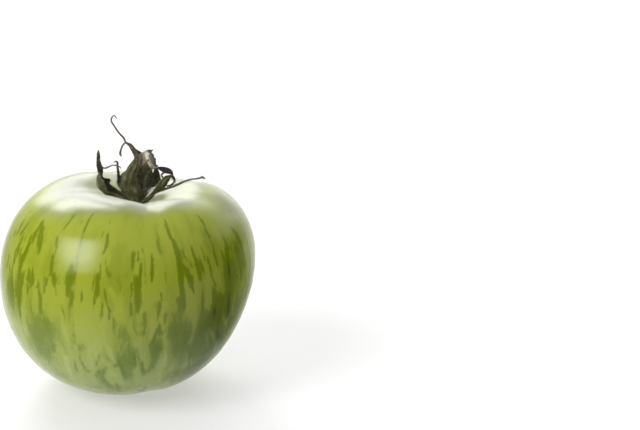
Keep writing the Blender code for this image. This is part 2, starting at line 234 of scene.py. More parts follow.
    (0.95, (-43.4, 59.7, 1.6), (-43, 65.3, 2.4)),
    (1.25, (-43.8, 64.5, 4.0), (-44, 70, 8.6), (-43.8, 76, 8.4), (-44, 81, 7.0)),
    (1.25, (-44, 81, 7.0), (-43.6, 86, 4.4), (-42.6, 91, 2.4)),
    (0.75, (-46.8, 60.5, 1.2), (-46.5, 64.3, 2.2)),
    (0.85, (-35.1, 62, 1.4), (-34.9, 65, 2.2), (-35, 67.8, 1.2)),
    (0.85, (-32.1, 63.2, 1.4), (-32, 67.8, 2.0)),
    (0.75, (-34, 70.7, 1.4), (-33.6, 74.4, 2.2)),
    (0.95, (-30.6, 53.5, 1.6), (-29.5, 55.5, 2.8), (-28.4, 57.4, 1.8)),
    (0.75, (-29.1, 57, 2.4), (-29, 63, 3.2), (-28.8, 69.4, 2.0)),
    (0.60, (-61.3, 74.6, 1.2), (-61.2, 79.5, 2.0), (-61, 84.5, 1.4)),
    (0.80, (-55, 71.5, 2.0), (-54.6, 76, 4.0), (-53.4, 81, 6.0), (-53, 85, 6.0)),
    (0.85, (-50, 80, 6.0), (-48.5, 85, 6.0)),
    (0.50, (-39.2, 93.2, 1.0), (-37.7, 95.3, 1.6)),
    (0.55, (-39.7, 96.8, 1.0), (-37.8, 99.3, 1.6)),
    (0.85, (-48.3, 99.5, 1.6), (-45.8, 103.3, 2.2)),
    # below
    (0.30, (-119.3, 93.5, 1.0), (-120.5, 97.5, 1.3)),
    (0.22, (-119.2, 96.7, 1.4), (-117, 99.4, 2.0)),
    (0.28, (-118.6, 86.7, 1.2), (-118.4, 93.3, 1.6)),
    (0.35, (-110.6, 93.4, 1.4), (-107.9, 90.8, 1.4)),
    (0.45, (-104.9, 94.7, 1.0), (-104.6, 97.3, 1.4)),
    (0.35, (-111.2, 82.5, 1.2), (-110.5, 89.4, 1.9)),
    (0.55, (-124.8, 100.5, 1.2), (-124.5, 103.7, 1.7)),
    (0.50, (-121.2, 108, 1.2), (-121.7, 113.5, 2.0)),
    (0.50, (-118.2, 105.5, 1.4), (-116.5, 113.4, 2.4)),
    (0.50, (-108.3, 101.7, 1.6), (-110.7, 108.4, 2.2)),
    (0.50, (-106.3, 99, 1.0), (-105.4, 104, 1.5), (-102.8, 107.6, 1.5)),
    (0.60, (-100, 107, 2.2), (-104, 110, 2.4), (-109, 112, 2.4), (-112.5, 115.8, 1.8)),
    (0.65, (-108.4, 111, 2.4), (-109.5, 118, 3.6), (-107.6, 125.8, 2.4)),
    (0.62, (-99.2, 109.5, 2.0), (-98.4, 115, 2.6)),
    (0.42, (-103.9, 118.5, 2.0), (-103.3, 134, 2.6)),
    (0.42, (-119.8, 127.4, 1.6), (-114.3, 127.6, 1.6)),
    (0.62, (-93.1, 104.5, 1.0), (-92.5, 109.5, 1.7)),
    (0.60, (-89.4, 108.6, 1.2), (-89, 116.5, 1.8)),
    # Painted shade: this last stroke darkens the bottom by the spot the fruit rests on.
    (0.55, (-87.6, 132.8, 2.4), (-90, 136.5, 3.0)),
)
# Pale flames, given in the same way.
FLAMES = (
    (0.80, (-146.1, 87.5, 1.6), (-145.3, 92, 3.0), (-145.6, 98, 2.0)),
    (0.50, (-128, 77.5, 4.0), (-128.4, 82, 7.0), (-129, 86.5, 4.0)),
    (0.80, (-123.6, 86, 2.0), (-123, 93, 4.0), (-121.5, 98, 1.8)),
    (0.50, (-143.3, 79, 2.0), (-141.5, 88.5, 3.0)),
    (0.50, (-138, 78.7, 2.4), (-137.5, 85.3, 2.8)),
    (0.60, (-103, 72, 3.6), (-99.8, 77, 5.0), (-98.2, 84, 2.6)),
    (0.80, (-114.2, 80, 3.0), (-114.6, 90, 5.0), (-112, 98, 5.0)),
    (0.90, (-112, 98, 5.0), (-113.4, 104, 4.2), (-112.6, 110, 1.6)),
    (1.00, (-111.2, 84, 2.6), (-110, 92, 6.0), (-108.7, 98, 6.4), (-110.5, 103.6, 2.0)),
    (0.90, (-106, 88, 2.4), (-105.6, 94, 4.0), (-104, 100, 3.4), (-102, 107, 1.4)),
    (1.00, (-125.3, 101.5, 2.0), (-124.8, 106, 4.6), (-125.6, 111, 4.2)),
    (0.95, (-125.6, 111, 4.2), (-126.6, 117.5, 2.4), (-128.2, 121.5, 1.2)),
    (0.50, (-122.3, 97.5, 1.4), (-123.2, 104.3, 1.6)),
    (0.50, (-119, 99.5, 1.0), (-119.1, 110.5, 1.4)),
    (0.50, (-107, 104.5, 2.0), (-109, 110.3, 3.6)),
    (0.70, (-104.5, 111, 3.6), (-103, 115, 6.4), (-102.3, 119.4, 3.6)),
    (0.40, (-120.4, 115.5, 1.4), (-124.8, 123.5, 1.8)),
    (0.60, (-91.9, 106.5, 1.4), (-91.8, 114, 2.2), (-91, 121.8, 1.8)),
    (0.60, (-88, 102.8, 4.0), (-86.8, 107, 3.4), (-87.6, 111.5, 1.4)),
    (0.50, (-95, 87.5, 2.0), (-93, 94.5, 3.4)),
    (0.60, (-86.7, 77.5, 1.6), (-85, 83, 3.4), (-84.6, 88, 2.6), (-86.2, 93, 2.8)),
    (0.40, (-82.6, 84, 1.4), (-80.3, 88.3, 2.0)),
    (0.90, (-79.6, 94.6, 1.2), (-77.8, 99, 4.0), (-77.6, 106, 4.2), (-79, 112, 4.4)),
    (0.80, (-79, 112, 4.4), (-79.6, 119, 4.2), (-79, 127, 2.6)),
    (0.90, (-67.4, 74, 1.6), (-65.6, 79, 4.2), (-64.4, 86, 3.6), (-64.6, 92, 2.4)),
    (0.70, (-64.6, 92, 2.4), (-65.4, 100, 2.0)),
    (0.70, (-64.4, 69, 1.6), (-63.6, 74, 2.6), (-63.4, 82, 2.8)),
    (0.80, (-59, 67.5, 1.8), (-58.6, 74, 3.2), (-57.6, 80, 3.6), (-56.8, 84.6, 1.4)),
    (0.50, (-55.4, 70.8, 1.2), (-55.1, 74.3, 1.6)),
    (0.70, (-51.5, 68, 3.0), (-50.6, 73, 2.6), (-48.8, 78.7, 1.2)),
    (0.50, (-48.3, 85.8, 1.2), (-45.9, 92.4, 1.8)),
    (0.60, (-44.7, 92.8, 1.4), (-43, 95, 3.4), (-41.3, 97.6, 1.6)),
    (0.50, (-56.3, 94.3, 1.0), (-53.3, 97.5, 2.2), (-49.8, 102.3, 1.2)),
    (0.35, (-72.1, 94.8, 1.0), (-70.7, 98.3, 1.4)),
    (0.50, (-65.6, 111.5, 1.2), (-64.5, 117, 2.0)),
    (0.45, (-62, 113, 1.0), (-59.9, 117.4, 1.6)),
    (0.45, (-56.2, 98.5, 1.6), (-52.4, 107.3, 2.4)),
    (0.55, (-51, 100, 1.6), (-48, 105, 3.0), (-44, 111, 3.4), (-39.6, 118.5, 2.4)),
    (0.40, (-70, 69.6, 0.9), (-68.4, 76.3, 1.3)),
    (0.50, (-39, 88, 2.0), (-37.4, 92.6, 2.6)),
)
# Broad dark clouds of the same kind: bearing, colatitude, reach along each, strength.
CLOUDS = (
    (-137, 96, 9.5, 8.5, 0.58),
    (-131, 91, 5, 4, 0.35),
    (-155, 86, 5, 8, 0.62),
    (-136, 106, 10, 8, 0.35),
    (-96, 90, 5, 6, 0.45),
    (-95.5, 104, 5, 10, 0.60),
    (-83, 101, 4, 6, 0.75),
    (-74, 92, 4, 10, 0.55),
    (-86, 111, 6, 6, 0.35),
    (-64, 100, 12, 12, 0.70),
    (-54, 90, 9, 7, 0.75),
    (-54, 125, 11, 13, 0.75),
    (-47, 106, 8, 8, 0.50),
    (-36, 92, 9, 10, 0.50),
    (-38, 113, 10, 11, 0.40),
    (-34, 70, 5, 6, 0.40),
    (-34, 60, 6, 6, 0.35),
    (-115, 101, 5, 6, 0.25),
    (-133, 119, 5, 5, 0.30),
    (-70, 124, 7, 8, 0.20),
    (-105, 130, 9, 6, 0.35),
    (-98, 118, 4, 4, 0.20),
)
# Painted shade that darkens every tone on the lower right side and towards the bottom, given as the
# clouds are.
SHADES = (
    (-44, 102, 36, 36, 0.47),
    (-75, 128, 30, 14, 0.16),
)
# Where the painted highlight round the pit ends, at the glare's lower edge: its level in degrees, how
# much lower on the side it reaches furthest down, that side's bearing, and half the width of its soft
# edge.
CROWN_LEVEL = 32
CROWN_REACH = 17
CROWN_SIDE = math.radians(-152)
CROWN_SOFT = 5
# Painted shade under the glare on top of the shoulders, and skin that mirrors less, given as the clouds
# are.
PAINTED_SHOULDER_SHADE = (
    (-150, 33, 42, 8, 0.85),
    (150, 34, 46, 10, 0.75),
    (60, 38, 50, 12, 0.60),
    (-10, 42, 24, 10, 0.60),
    (-92, 29, 34, 9, 0.70),
    (-50, 30, 20, 7, 0.70),
)
DULL = (
    (-40, 78, 18, 24, 1.10),
    (-12, 112, 46, 36, 1.00),
    (-30, 9, 60, 6, 1.00),
    (2, 9, 42, 5.5, 1.00),
    (-150, 76, 14, 22, 0.70),
)
# Fresh green skin in the pit, where the painted highlight is taken away.
PIT_GREEN = ((0, 8, 60, 6.5, 3.0),)
# Small corky specks on the shoulders, given as the clouds are.
SPECKS = (
    (-164, 37.5, 1.3, 0.8, 0.9),
    (-156.5, 39.5, 1.6, 0.7, 0.8),
    (-155.5, 37.5, 1.2, 0.7, 0.7),
    (-155, 41.5, 1.0, 0.7, 0.6),
    (-142.5, 38, 1.4, 0.8, 0.9),
    (-159, 48, 1.0, 0.7, 0.5),
    (-166, 52.5, 1.1, 1.2, 0.6),
    (-27.5, 31, 1.6, 0.7, 0.6),
    (-18, 46, 1.2, 0.9, 0.8),
    (-17.5, 47.8, 0.9, 0.7, 0.7),
    (-9, 51, 1.2, 0.9, 0.7),
    (8, 52, 1.5, 1.0, 0.7),
)
# The side that never shows in front is marked by a seeded rule: the bearings that it covers, in
# degrees, and how many marks of each kind it makes.
WILD_FROM = -22
WILD_TO = 192
WILD_STREAKS = 170
WILD_FLAMES = 50
WILD_CLOUDS = 30
# The levels that its strokes start at and its clouds lie at. Strokes above WILD_CROWN degrees fade
# out over WILD_FADE degrees of bearing towards the side in front.
WILD_LEVELS = (36, 122)
WILD_CLOUD_LEVELS = (60, 128)
WILD_CROWN = 60
WILD_FADE = 50
# A stroke's bell reaches LEAST_REACH degrees and CORE_REACH of its width, and LOW_REACH of its width
# more where it has come far enough down: from SPREAD_FROM degrees, over SPREAD_OVER degrees, where it
# also loses LOW_LOSS of its strength. Distances along it are divided by ALONG. HALO is the share of
# its wider bell, which reaches twice as far and HALO_REACH degrees more.
LEAST_REACH = 0.1
CORE_REACH = 0.37
LOW_REACH = 0.22
LOW_LOSS = 0.2
SPREAD_FROM = 98
SPREAD_OVER = 20
ALONG = 1.6
HALO = 0.20
HALO_REACH = 0.6
# How much a flame takes from the marks that it crosses.
FLAME_SHARE = 0.9
# How far the corky rings reach from the stalk and from the scar, in radians.
CORK_TOP = 0.10
CORK_FOOT = 0.055
# Levels as shares of the way from stalk to scar: where the marks begin, how much less of them there
# is above that, and where the lower half's greyer tones come in.
MARKS_BEGIN = (0.19, 0.29)
MARKS_LESS = -0.35
LOW_BEGINS = (0.43, 0.65)
# The noise that breaks up the marks: its stretch, detail, roughness and share in the tone.
EDGE_NOISE = (
    ((16, 16, 4.5), 2.0, 0.5, 0.70),
    ((40, 40, 12), 3.0, 0.6, 0.70),
    ((95, 95, 38), 2.0, 0.6, 0.50),
)
# The steps of the tone at which the flames' colour ends, the soft marks' begins, their cores' and the
# darkest. The two in the middle differ above and below.
FLAME_STEP = (-0.55, -0.25)
SOFT_ABOVE = (0.09, 0.54)
SOFT_BELOW = (0.01, 0.52)
CORE_ABOVE = (0.47, 0.96)
CORE_BELOW = (0.40, 1.09)
DARKEST_STEP = (1.10, 1.45)

# The calyx's form.

# The stub of stalk: place from the pit's centre, radius.
STUB = (
    (-0.90, -1.60, -0.80, 1.2),
    (-1.00, -1.40, -0.10, 2.1),
    (-1.30, -1.00, 0.80, 2.8),
    (-1.50, -0.60, 1.80, 2.95),
    (-1.50, -0.30, 2.70, 2.8),
    (-1.60, -0.20, 3.60, 2.45),
    (-1.50, -0.20, 4.90, 2.25),
    (-1.30, -0.25, 6.40, 2.15),
    (-0.80, -0.35, 8.10, 2.15),
    (0.15, -0.40, 9.60, 2.2),
    (1.25, -0.54, 10.97, 2.35),
    (2.46, -0.75, 11.53, 2.4),
)

# Grids of the stub and its torn end, and how high the end's wall and teeth stand, how deep its dish
# lies and how far its skirt hangs.
STUB_RINGS = 110
STUB_COLUMNS = 96
DISC_ROWS = 22
DISC_COLUMNS = 144
WALL_HEIGHT = 0.30
TEETH_HEIGHT = 0.95
DISH_DEPTH = 0.45
SKIRT_DEPTH = 0.75
# The way that the stub's rings are measured from: away from the camera.
BACKWARD = np.array((0.0, 1.0, 0.0))

# Sepals. Each row: place from the pit's centre, width, half-angle that the strip is curled through,
# and the way its inner face looks. A row without the last four keeps those of the row before it.
SEPALS = {
    "front_tall": (
        (-1.20, -2.60, 0.30, 3.60, 0.35, 0.10, 0.86, 0.50),
        (-2.40, -3.70, 2.50, 5.60, 0.60, 0.20, 0.95, 0.20),
        (-3.17, -3.80, 5.53, 5.07, 0.60, 0.24, 0.97, 0.05),
        (-3.11, -4.10, 7.51, 4.31, 0.60, 0.24, 0.97, -0.10),
        (-2.61, -4.00, 9.34, 3.17, 0.65, 0.24, 0.96, -0.14),
        (-1.96, -3.70, 10.84, 2.15, 0.70, 0.24, 0.97, -0.10),
        (-1.38, -3.30, 12.18, 1.42, 0.70, 0.20, 0.98, 0.00),
        (-1.51, -2.90, 13.30, 1.24, 0.60, 0.10, 1.00, 0.00),
        (-2.12, -2.40, 14.42, 1.24, 0.60, 0.00, 1.00, 0.10),
        (-2.80, -2.00, 15.30, 1.11, 0.70, 0.00, 0.98, 0.20),
        (-3.53, -1.70, 15.82, 0.66, 1.20, 0.00, 0.96, 0.29),
        (-4.09, -1.50, 16.10, 0.35, 1.50, 0.00, 0.96, 0.29),
        (-4.29, -1.40, 16.72, 0.38, 1.50, 0.00, 0.98, 0.20),
        (-4.70, -1.35, 17.40, 0.41),
        (-5.81, -1.20, 18.53, 0.33),
        (-6.77, -1.00, 20.00, 0.30),
        (-7.56, -0.90, 21.21, 0.29),
        (-7.61, -0.80, 22.01, 0.28),
        (-7.28, -0.70, 22.60, 0.25),
        (-6.86, -0.60, 22.75, 0.23),
        (-6.23, -0.40, 21.93, 0.15),
    ),
    "back_tall": (
        (0.00, 1.00, 1.60, 2.90, 0.30, 0.00, -0.98, 0.20),
        (1.56, 4.40, 3.70, 3.29, 0.40, 0.00, -1.00, 0.00),
        (1.43, 5.00, 6.49, 2.79, 0.45, 0.00, -1.00, 0.00),
        (0.79, 4.40, 9.28, 2.03, 0.50, 0.00, -1.00, 0.10),
        (-0.10, 3.40, 11.25, 1.57, 0.50, 0.00, -0.98, 0.20),
        (-1.02, 2.20, 12.50, 1.06, 0.70, 0.00, -0.96, 0.29),
        (-2.00, 0.80, 13.72, 0.66, 1.00, 0.00, -0.96, 0.29),
        (-3.14, -0.40, 15.04, 0.46, 1.30, 0.00, -0.96, 0.29),
        (-3.99, -1.00, 15.80, 0.35, 1.40, 0.00, -0.96, 0.29),
        (-4.72, -1.20, 15.36, 0.33, 1.40, 0.00, -0.98, 0.20),
        (-5.18, -1.20, 14.20, 0.38),
        (-5.43, -1.05, 13.02, 0.43),
        (-5.08, -0.80, 12.19, 0.20),
    ),
    "left_cup": (
        (-0.60, -2.90, 0.35, 2.00, 0.20, 0.10, -0.10, 0.99),
        (-2.60, -3.30, 1.20, 2.20, 0.35, 0.15, -0.15, 0.98),
        (-4.60, -3.50, 1.95, 2.80, 0.60, 0.19, -0.15, 0.97),
        (-6.80, -3.65, 2.70, 4.90, 1.05, 0.34, -0.18, 0.93),
        (-9.20, -4.00, 3.65, 6.80, 1.35, 0.58, -0.18, 0.80),
        (-10.55, -3.90, 5.10, 8.10, 1.50, 0.82, -0.20, 0.54),
        (-10.95, -3.70, 6.68, 7.80, 1.50, 0.93, -0.20, 0.30),
        (-10.90, -3.50, 7.70, 6.20, 1.45, 0.96, -0.20, 0.18),
        (-10.51, -3.40, 8.38, 2.41, 1.00, 0.98, -0.22, 0.00),
        (-10.49, -3.30, 9.04, 1.82, 0.90, 0.60, -0.80, 0.00),
        (-10.57, -3.20, 9.97, 1.62, 0.90, 0.37, -0.93, 0.00),
        (-10.80, -3.10, 11.04, 1.32, 0.90, 0.29, -0.96, 0.00),
        (-10.92, -3.00, 11.94, 0.99),
        (-10.85, -3.00, 12.74, 1.06),
        (-10.88, -2.90, 13.57, 0.76),
        (-10.73, -2.90, 14.42, 0.20),
    ),
    "left_thread": (
        (-10.47, -3.10, 10.05, 0.51, 1.30, 0.00, -0.20, 0.98),
        (-9.85, -2.80, 9.81, 0.43),
        (-8.95, -2.30, 9.58, 0.41),
        (-8.20, -1.90, 9.82, 0.35),
        (-7.45, -1.50, 10.09, 0.30),
        (-6.52, -1.00, 9.86, 0.30),
        (-5.67, -0.70, 9.51, 0.28),
        (-5.16, -0.60, 8.89, 0.18),
    ),
    "back_spike": (
        (-2.60, 1.20, 1.90, 2.28, 0.20, 0.20, -0.10, 0.98),
        (-4.90, 3.10, 2.75, 2.28, 0.50, 0.35, -0.35, 0.87),
        (-5.90, 4.20, 3.60, 1.62, 0.80, 0.66, -0.66, 0.37),
        (-5.98, 4.60, 4.99, 1.11, 1.00, 0.61, -0.79, 0.09),
        (-6.06, 4.80, 6.56, 0.81, 1.00, 0.51, -0.86, 0.00),
        (-6.19, 5.00, 7.85, 0.58, 1.10, 0.45, -0.89, 0.00),
        (-6.19, 5.00, 8.88, 0.51, 1.20, 0.37, -0.93, 0.00),
        (-6.35, 5.00, 9.21, 0.35, 1.20, 0.34, -0.84, 0.42),
        (-6.81, 4.90, 9.22, 0.25, 1.20, 0.17, -0.51, 0.85),
        (-7.16, 4.80, 8.93, 0.13, 1.20, 0.00, -0.51, 0.86),
    ),
    "back_left": (
        (-1.90, 1.90, 1.95, 2.28, 0.20, 0.10, -0.29, 0.95),
        (-3.90, 4.10, 3.00, 2.03, 0.60, 0.27, -0.53, 0.80),
        (-5.02, 5.20, 4.10, 1.42, 0.90, 0.45, -0.81, 0.36),
        (-5.12, 5.40, 4.93, 1.11, 1.00, 0.28, -0.92, 0.28),
        (-4.66, 5.20, 5.82, 0.86, 1.10, 0.00, -0.75, 0.66),
        (-3.89, 4.80, 6.67, 0.25, 1.20, 0.00, -0.75, 0.66),
    ),
    "right_cup": (
        (0.30, 0.70, 1.60, 2.53, 0.20, -0.09, -0.45, 0.89),
        (2.40, 3.50, 2.45, 3.29, 0.50, -0.14, -0.75, 0.65),
        (3.25, 4.60, 3.40, 3.55, 0.90, -0.14, -0.93, 0.33),
        (3.75, 5.10, 4.55, 3.00, 1.00, -0.15, -0.98, 0.10),
        (3.75, 5.30, 5.97, 2.20, 1.00, -0.10, -1.00, 0.00),
        (3.70, 5.40, 7.00, 1.25, 0.90, 0.00, -1.00, 0.10),
        (4.07, 5.40, 7.47, 0.66, 0.90, 0.00, -0.80, 0.60),
        (5.07, 5.30, 7.20, 1.30, 0.70, 0.00, -0.87, 0.49),
        (6.17, 5.00, 6.98, 1.60, 0.60, 0.00, -0.93, 0.37),
        (7.11, 4.70, 6.84, 1.45, 0.60, -0.10, -0.98, 0.20),
        (7.67, 4.40, 6.34, 1.00, 0.70, -0.37, -0.93, 0.00),
        (7.77, 4.10, 5.71, 0.46, 0.80, -0.37, -0.93, 0.00),
    ),
    "right_fluff": (
        (0.60, -1.00, 1.30, 1.60, 0.40, 0.10, -0.50, 0.80),
        (1.50, -1.60, 2.30, 2.20, 0.70, 0.20, -0.40, 0.90),
        (2.50, -1.90, 3.10, 2.40, 0.90, 0.20, -0.30, 0.90),
        (3.50, -2.00, 3.80, 2.00, 1.10, 0.20, -0.40, 0.90),
        (4.20, -1.90, 4.50, 0.80, 1.20, 0.10, -0.50, 0.80),
    ),
    "right_curl": (
        (6.68, 4.90, 6.55, 0.41, 1.20, 0.00, -1.00, 0.00),
        (5.94, 4.80, 6.50, 0.38),
        (5.27, 4.60, 6.22, 0.35),
        (5.08, 4.20, 5.84, 0.33),
        (5.36, 3.80, 5.44, 0.30),
        (6.00, 3.50, 5.41, 0.18),
    ),
    "right_loop": (
        (-0.20, -2.90, 0.30, 2.00, 0.20, -0.19, 0.19, 0.96),
        (1.20, -3.30, 1.35, 2.10, 0.40, -0.30, 0.40, 0.86),
        (2.45, -3.80, 2.60, 2.00, 0.55, -0.40, 0.57, 0.70),
        (3.29, -4.10, 3.75, 1.77, 0.60, -0.45, 0.63, 0.63),
        (4.75, -4.60, 5.00, 2.80, 0.60, -0.49, 0.78, 0.39),
        (5.60, -4.80, 6.35, 2.85, 0.50, -0.39, 0.87, 0.29),
        (6.35, -4.60, 7.30, 2.60, 0.50, -0.29, 0.87, 0.39),
        (6.95, -4.30, 7.80, 2.00, 0.60, -0.18, 0.65, 0.74),
        (7.55, -3.90, 7.85, 1.40, 0.70, 0.09, 0.55, 0.83),
        (8.00, -3.60, 7.20, 1.10, 0.80, 0.70, 0.50, 0.50),
        (8.20, -3.30, 6.47, 0.58, 0.80, 0.91, 0.41, 0.00),
        (7.70, -3.10, 5.73, 0.61, 0.80, 0.70, 0.40, -0.60),
        (6.95, -2.90, 5.32, 0.56, 0.80, 0.29, 0.39, -0.87),
        (6.25, -2.80, 5.07, 0.30),
    ),
    "right_long": (
        (0.40, 0.00, 1.60, 1.77, 0.20, 0.00, -0.29, 0.96),
        (3.71, 1.00, 2.35, 1.11, 0.60, 0.00, -0.37, 0.93),
        (6.35, 1.40, 3.15, 0.76, 0.80, 0.00, -0.45, 0.89),
        (8.03, 1.80, 3.60, 0.68, 0.90, 0.00, -0.45, 0.89),
        (9.42, 2.20, 4.10, 0.66, 1.00, 0.00, -0.45, 0.89),
        (10.60, 2.70, 4.55, 0.53, 1.10, 0.00, -0.45, 0.89),
        (12.24, 3.30, 4.99, 0.43, 1.20, 0.00, -0.45, 0.89),
        (13.94, 3.80, 5.10, 0.43),
        (14.97, 4.15, 5.20, 0.53, 1.10, 0.00, -0.45, 0.89),
        (15.44, 4.30, 5.35, 0.73, 1.00, 0.00, -0.45, 0.89),
        (15.87, 4.35, 5.18, 0.58),
        (16.26, 4.40, 4.90, 0.20),
    ),
}

# Sepals that are dried out and pale.
PALE_SEPALS = ("right_fluff",)
# A sepal's strip: the spacing of its rings and their least number, its points across, its least
# width, the limits of its curl, the width from which it has relief and over which that grows to its
# full height, and the heights: the margin's as a share of the width, the pleats' and the crinkles'.
SPACING = 0.16
FEWEST_RINGS = 24
ACROSS = 13
NARROWEST = 0.08
CURLS = (0.05, 2.2)
RELIEF_FROM = 0.5
RELIEF_OVER = 2.0
RAGGED = 0.07
PLEATS = 0.15
CRINKLES = 0.16
# Hairs: radius, depth of the root, then shares of the length: the shortest, the waist's place, its
# thickness, how far hairs lean at random and how far they bend.
HAIR_RADIUS = 0.022
HAIR_ROOT = 0.05
HAIR_SHORTEST = 0.35
HAIR_WAIST = 0.55
HAIR_WAIST_WIDTH = 0.6
HAIR_LEAN = 0.55
HAIR_BEND = 0.35
HAIR_SEED = 11

# Colours that no setting changes.

BLACK = (0.0, 0.0, 0.0)
WHITE = (1.0, 1.0, 1.0)
CORK = (0.20, 0.13, 0.06)
SPECK = (0.10, 0.08, 0.03)
FURROW = (0.018, 0.020, 0.012)
RIB = (0.24, 0.225, 0.115)
FLUFF = (0.75, 0.75, 0.64)
# Painted shade on the sepals' inner faces.
INNER_FACE_SHADE = (0.030, 0.028, 0.018)
TORN_FIBRES = (0.16, 0.155, 0.11)
TORN_SPECKS = (0.13, 0.125, 0.09)
HAIR_DARK = (0.30, 0.29, 0.20)
HAIR_LIGHT = (0.60, 0.58, 0.46)

# The stage.

# The picture: its size, and where the fruit's heart stands in it, in pixels, and the width of the
# camera's sensor in millimetres.
PICTURE = (640, 430)
HEART_IN_PICTURE = (141.44, 285.2)
SENSOR = 36.0
# The floor: how far its grid reaches each way in metres, and its points along a side.
FLOOR_REACH = 1.5
FLOOR_POINTS = 9
# Where the lamps aim, and how far from there they stand, in metres.
LAMP_AIM = (0.0, 0.0, 0.03)
LAMP_DISTANCE = 2.4
# The white surround: an axis, where its ramp starts and ends, the strengths there, and how it
# joins the ramps before it.
SURROUND = (
    ("Y", 0.55, 0.95, 0.0, 1.15, "MULTIPLY"),
    ("X", -0.75, 0.30, 0.30, 1.60, "MULTIPLY"),
    ("Z", 0.20, 0.85, 0.08, 0.62, "ADD"),
)
# The floor is darker beyond the left and the near edge of the view: a direction across it, the
# places along it between which it brightens, in metres, and the share of its light in the dark.
FLOOR_FADES = (
    ((1.0, 0.075, 0.0), -0.100, -0.046, 0.35),
    ((0.0, 1.0, 0.0), -0.200, -0.060, 0.50),
)
# Lamps: name, bearing, elevation, width, height in metres, radiance, roll.
LAMPS = (
    ("back lamp", -160, 38, 1.05, 0.60, 9.5, 0),
    ("back reflector", -168, 21, 1.15, 0.95, 2.9, 0),
    ("square lamp", -58, 36.5, 1.32, 1.48, 6.4, 30),
    ("square lamp's middle", -53, 35, 0.85, 1.25, 4.0, 30),
    ("side reflector", 122, 25, 1.75, 0.85, 1.15, 0),
)


# Settings.


def tint(name, description, default):
    """A colour setting."""
    return FloatVectorProperty(name=name, description=description, default=default, subtype="COLOR")


class FruitSettings(bpy.types.PropertyGroup):
    """Sizes and colours of the skin."""

    columns: IntProperty(
        name="Columns", description="Points of the skin's grid round the fruit", default=560, min=48
    )
    rings: IntProperty(
        name="Rings", description="Rings of the skin's grid from stalk to scar", default=172, min=24
    )
    light: tint(
        "Light skin", "Colour of the unmarked skin on the upper half", (0.322, 0.368, 0.030)
    )
    # Painted highlight: a paler, greyer colour round the pit and down to the glare's lower edge, which
    # whitens the glare.
    painted_highlight: tint(
        "Crown skin",
        "Colour of the unmarked skin round the pit, under a thin bloom",
        (0.315, 0.345, 0.140),
    )
    # Painted shade: a darker, greyer colour on top of the shoulders, under the glare.
    shoulder: tint(
        "Shoulder skin", "Colour of the dull, waxy skin on top of the shoulders", (0.130, 0.145, 0.055)
    )
    pale: tint(
        "Pale skin", "Colour of the unmarked skin towards the blossom end", (0.345, 0.408, 0.114)
    )
    flame: tint("Flames", "Colour of the pale flames on the lower half", (0.385, 0.452, 0.140))
    olive: tint("Soft marks", "Colour of the soft halves of the markings", (0.172, 0.222, 0.006))
    grey_olive: tint(
        "Soft marks below",
        "Colour of the soft halves of the markings on the lower half",
        (0.180, 0.250, 0.044),
    )
    dark: tint("Dark marks", "Colour of the streaks' cores", (0.155, 0.205, 0.003))
    grey_dark: tint(
        "Dark marks below", "Colour of the clouds' cores on the lower half", (0.110, 0.160, 0.018)
    )
    darkest: tint(
        "Darkest marks", "Colour where several markings lie over each other", (0.084, 0.122, 0.004)
    )
    seed: IntProperty(name="Seed", description="Seed of the markings placed by rule", default=7)


class CalyxSettings(bpy.types.PropertyGroup):
    """Sizes and colours of the stub of stalk and its sepals."""

    thickness: FloatProperty(
        name="Sepal thickness",
        description="Thickness of a sepal along its middle",
        default=0.00034,
        unit="LENGTH",
    )
    hair_length: FloatProperty(
        name="Hair length", description="Longest hairs", default=0.0007, unit="LENGTH"
    )
    hairs: IntProperty(name="Hairs", description="Number of hairs", default=5200, min=0)
    olive: tint("Olive", "Colour of the sepals' withered green parts", (0.092, 0.091, 0.028))
    brown: tint("Brown", "Colour of the dried tips and threads", (0.120, 0.066, 0.047))
    bark: tint(
        "Bark",
        "Colour of the bare bark by the cut end and of the fluff beside the stub",
        (0.330, 0.285, 0.205),
    )
    cut: tint("Cut end", "Colour of the pale rim of the cut stalk", (0.66, 0.62, 0.49))


class StageSettings(bpy.types.PropertyGroup):
    """The floor, the lamps and the camera."""

    floor: tint("Floor", "Colour of the pale floor", (0.42, 0.42, 0.417))
    glow: FloatProperty(
        name="Floor's glow", description="Light that the floor gives of itself", default=0.44
    )
    surround: FloatProperty(
        name="Surround", description="Strength of the even white surround", default=1.0
    )
    elevation: FloatProperty(
        name="Camera elevation",
        description="Height of the camera above the horizon",
        default=math.radians(20),
        subtype="ANGLE",
    )
    distance: FloatProperty(
        name="Camera distance",
        description="Distance from the fruit's heart to the camera",
        default=0.4625,
        unit="LENGTH",
    )
    lens: FloatProperty(
        name="Lens", description="Focal length in millimetres", default=100.0, unit="CAMERA"
    )


# Formulas.


def bell(distance, spread):
    """A smooth hump: e to the minus square of the distance in spreads."""
    return np.exp(-((distance / spread) ** 2))


def ripple(turn, along, seed, rates, waves=16):
    """A seeded sum of sine waves of random direction, rate and phase over an angle and a distance,
    about -1 to 1. Whole numbers of waves fit round the angle, so it closes on itself."""
    rng = np.random.default_rng(seed)
    heading = rng.uniform(0, 2 * math.pi, waves)
    rate = rng.uniform(*rates, waves)
    phase = rng.uniform(0, 2 * math.pi, waves)
    round_rate = np.rint(rate * np.cos(heading))
    angle = turn[..., None] * round_rate + along[..., None] * rate * np.sin(heading) + phase
    return np.sin(angle).sum(-1) / math.sqrt(2 * waves)


def crease_depth(colatitude, bearing):
    """Sum of humps across each crease, deep by the stalk, faint on the flank, seen again below."""
    along = bell(colatitude - CREASE_TOP[0], CREASE_TOP[1])
    along = along + CREASE_FOOT_SHARE * bell(colatitude - CREASE_FOOT[0], CREASE_FOOT[1])
    along = along + CREASE_FLANK_SHARE
    fade = (1 - bell(colatitude, POLE_FADE)) * (1 - bell(math.pi - colatitude, POLE_FADE))
    total = 0.0
    for middle, spread, depth in CREASES:
        away = np.angle(np.exp(1j * (bearing - middle)))
        total = total + depth * bell(away, spread)
    return total * fade * along


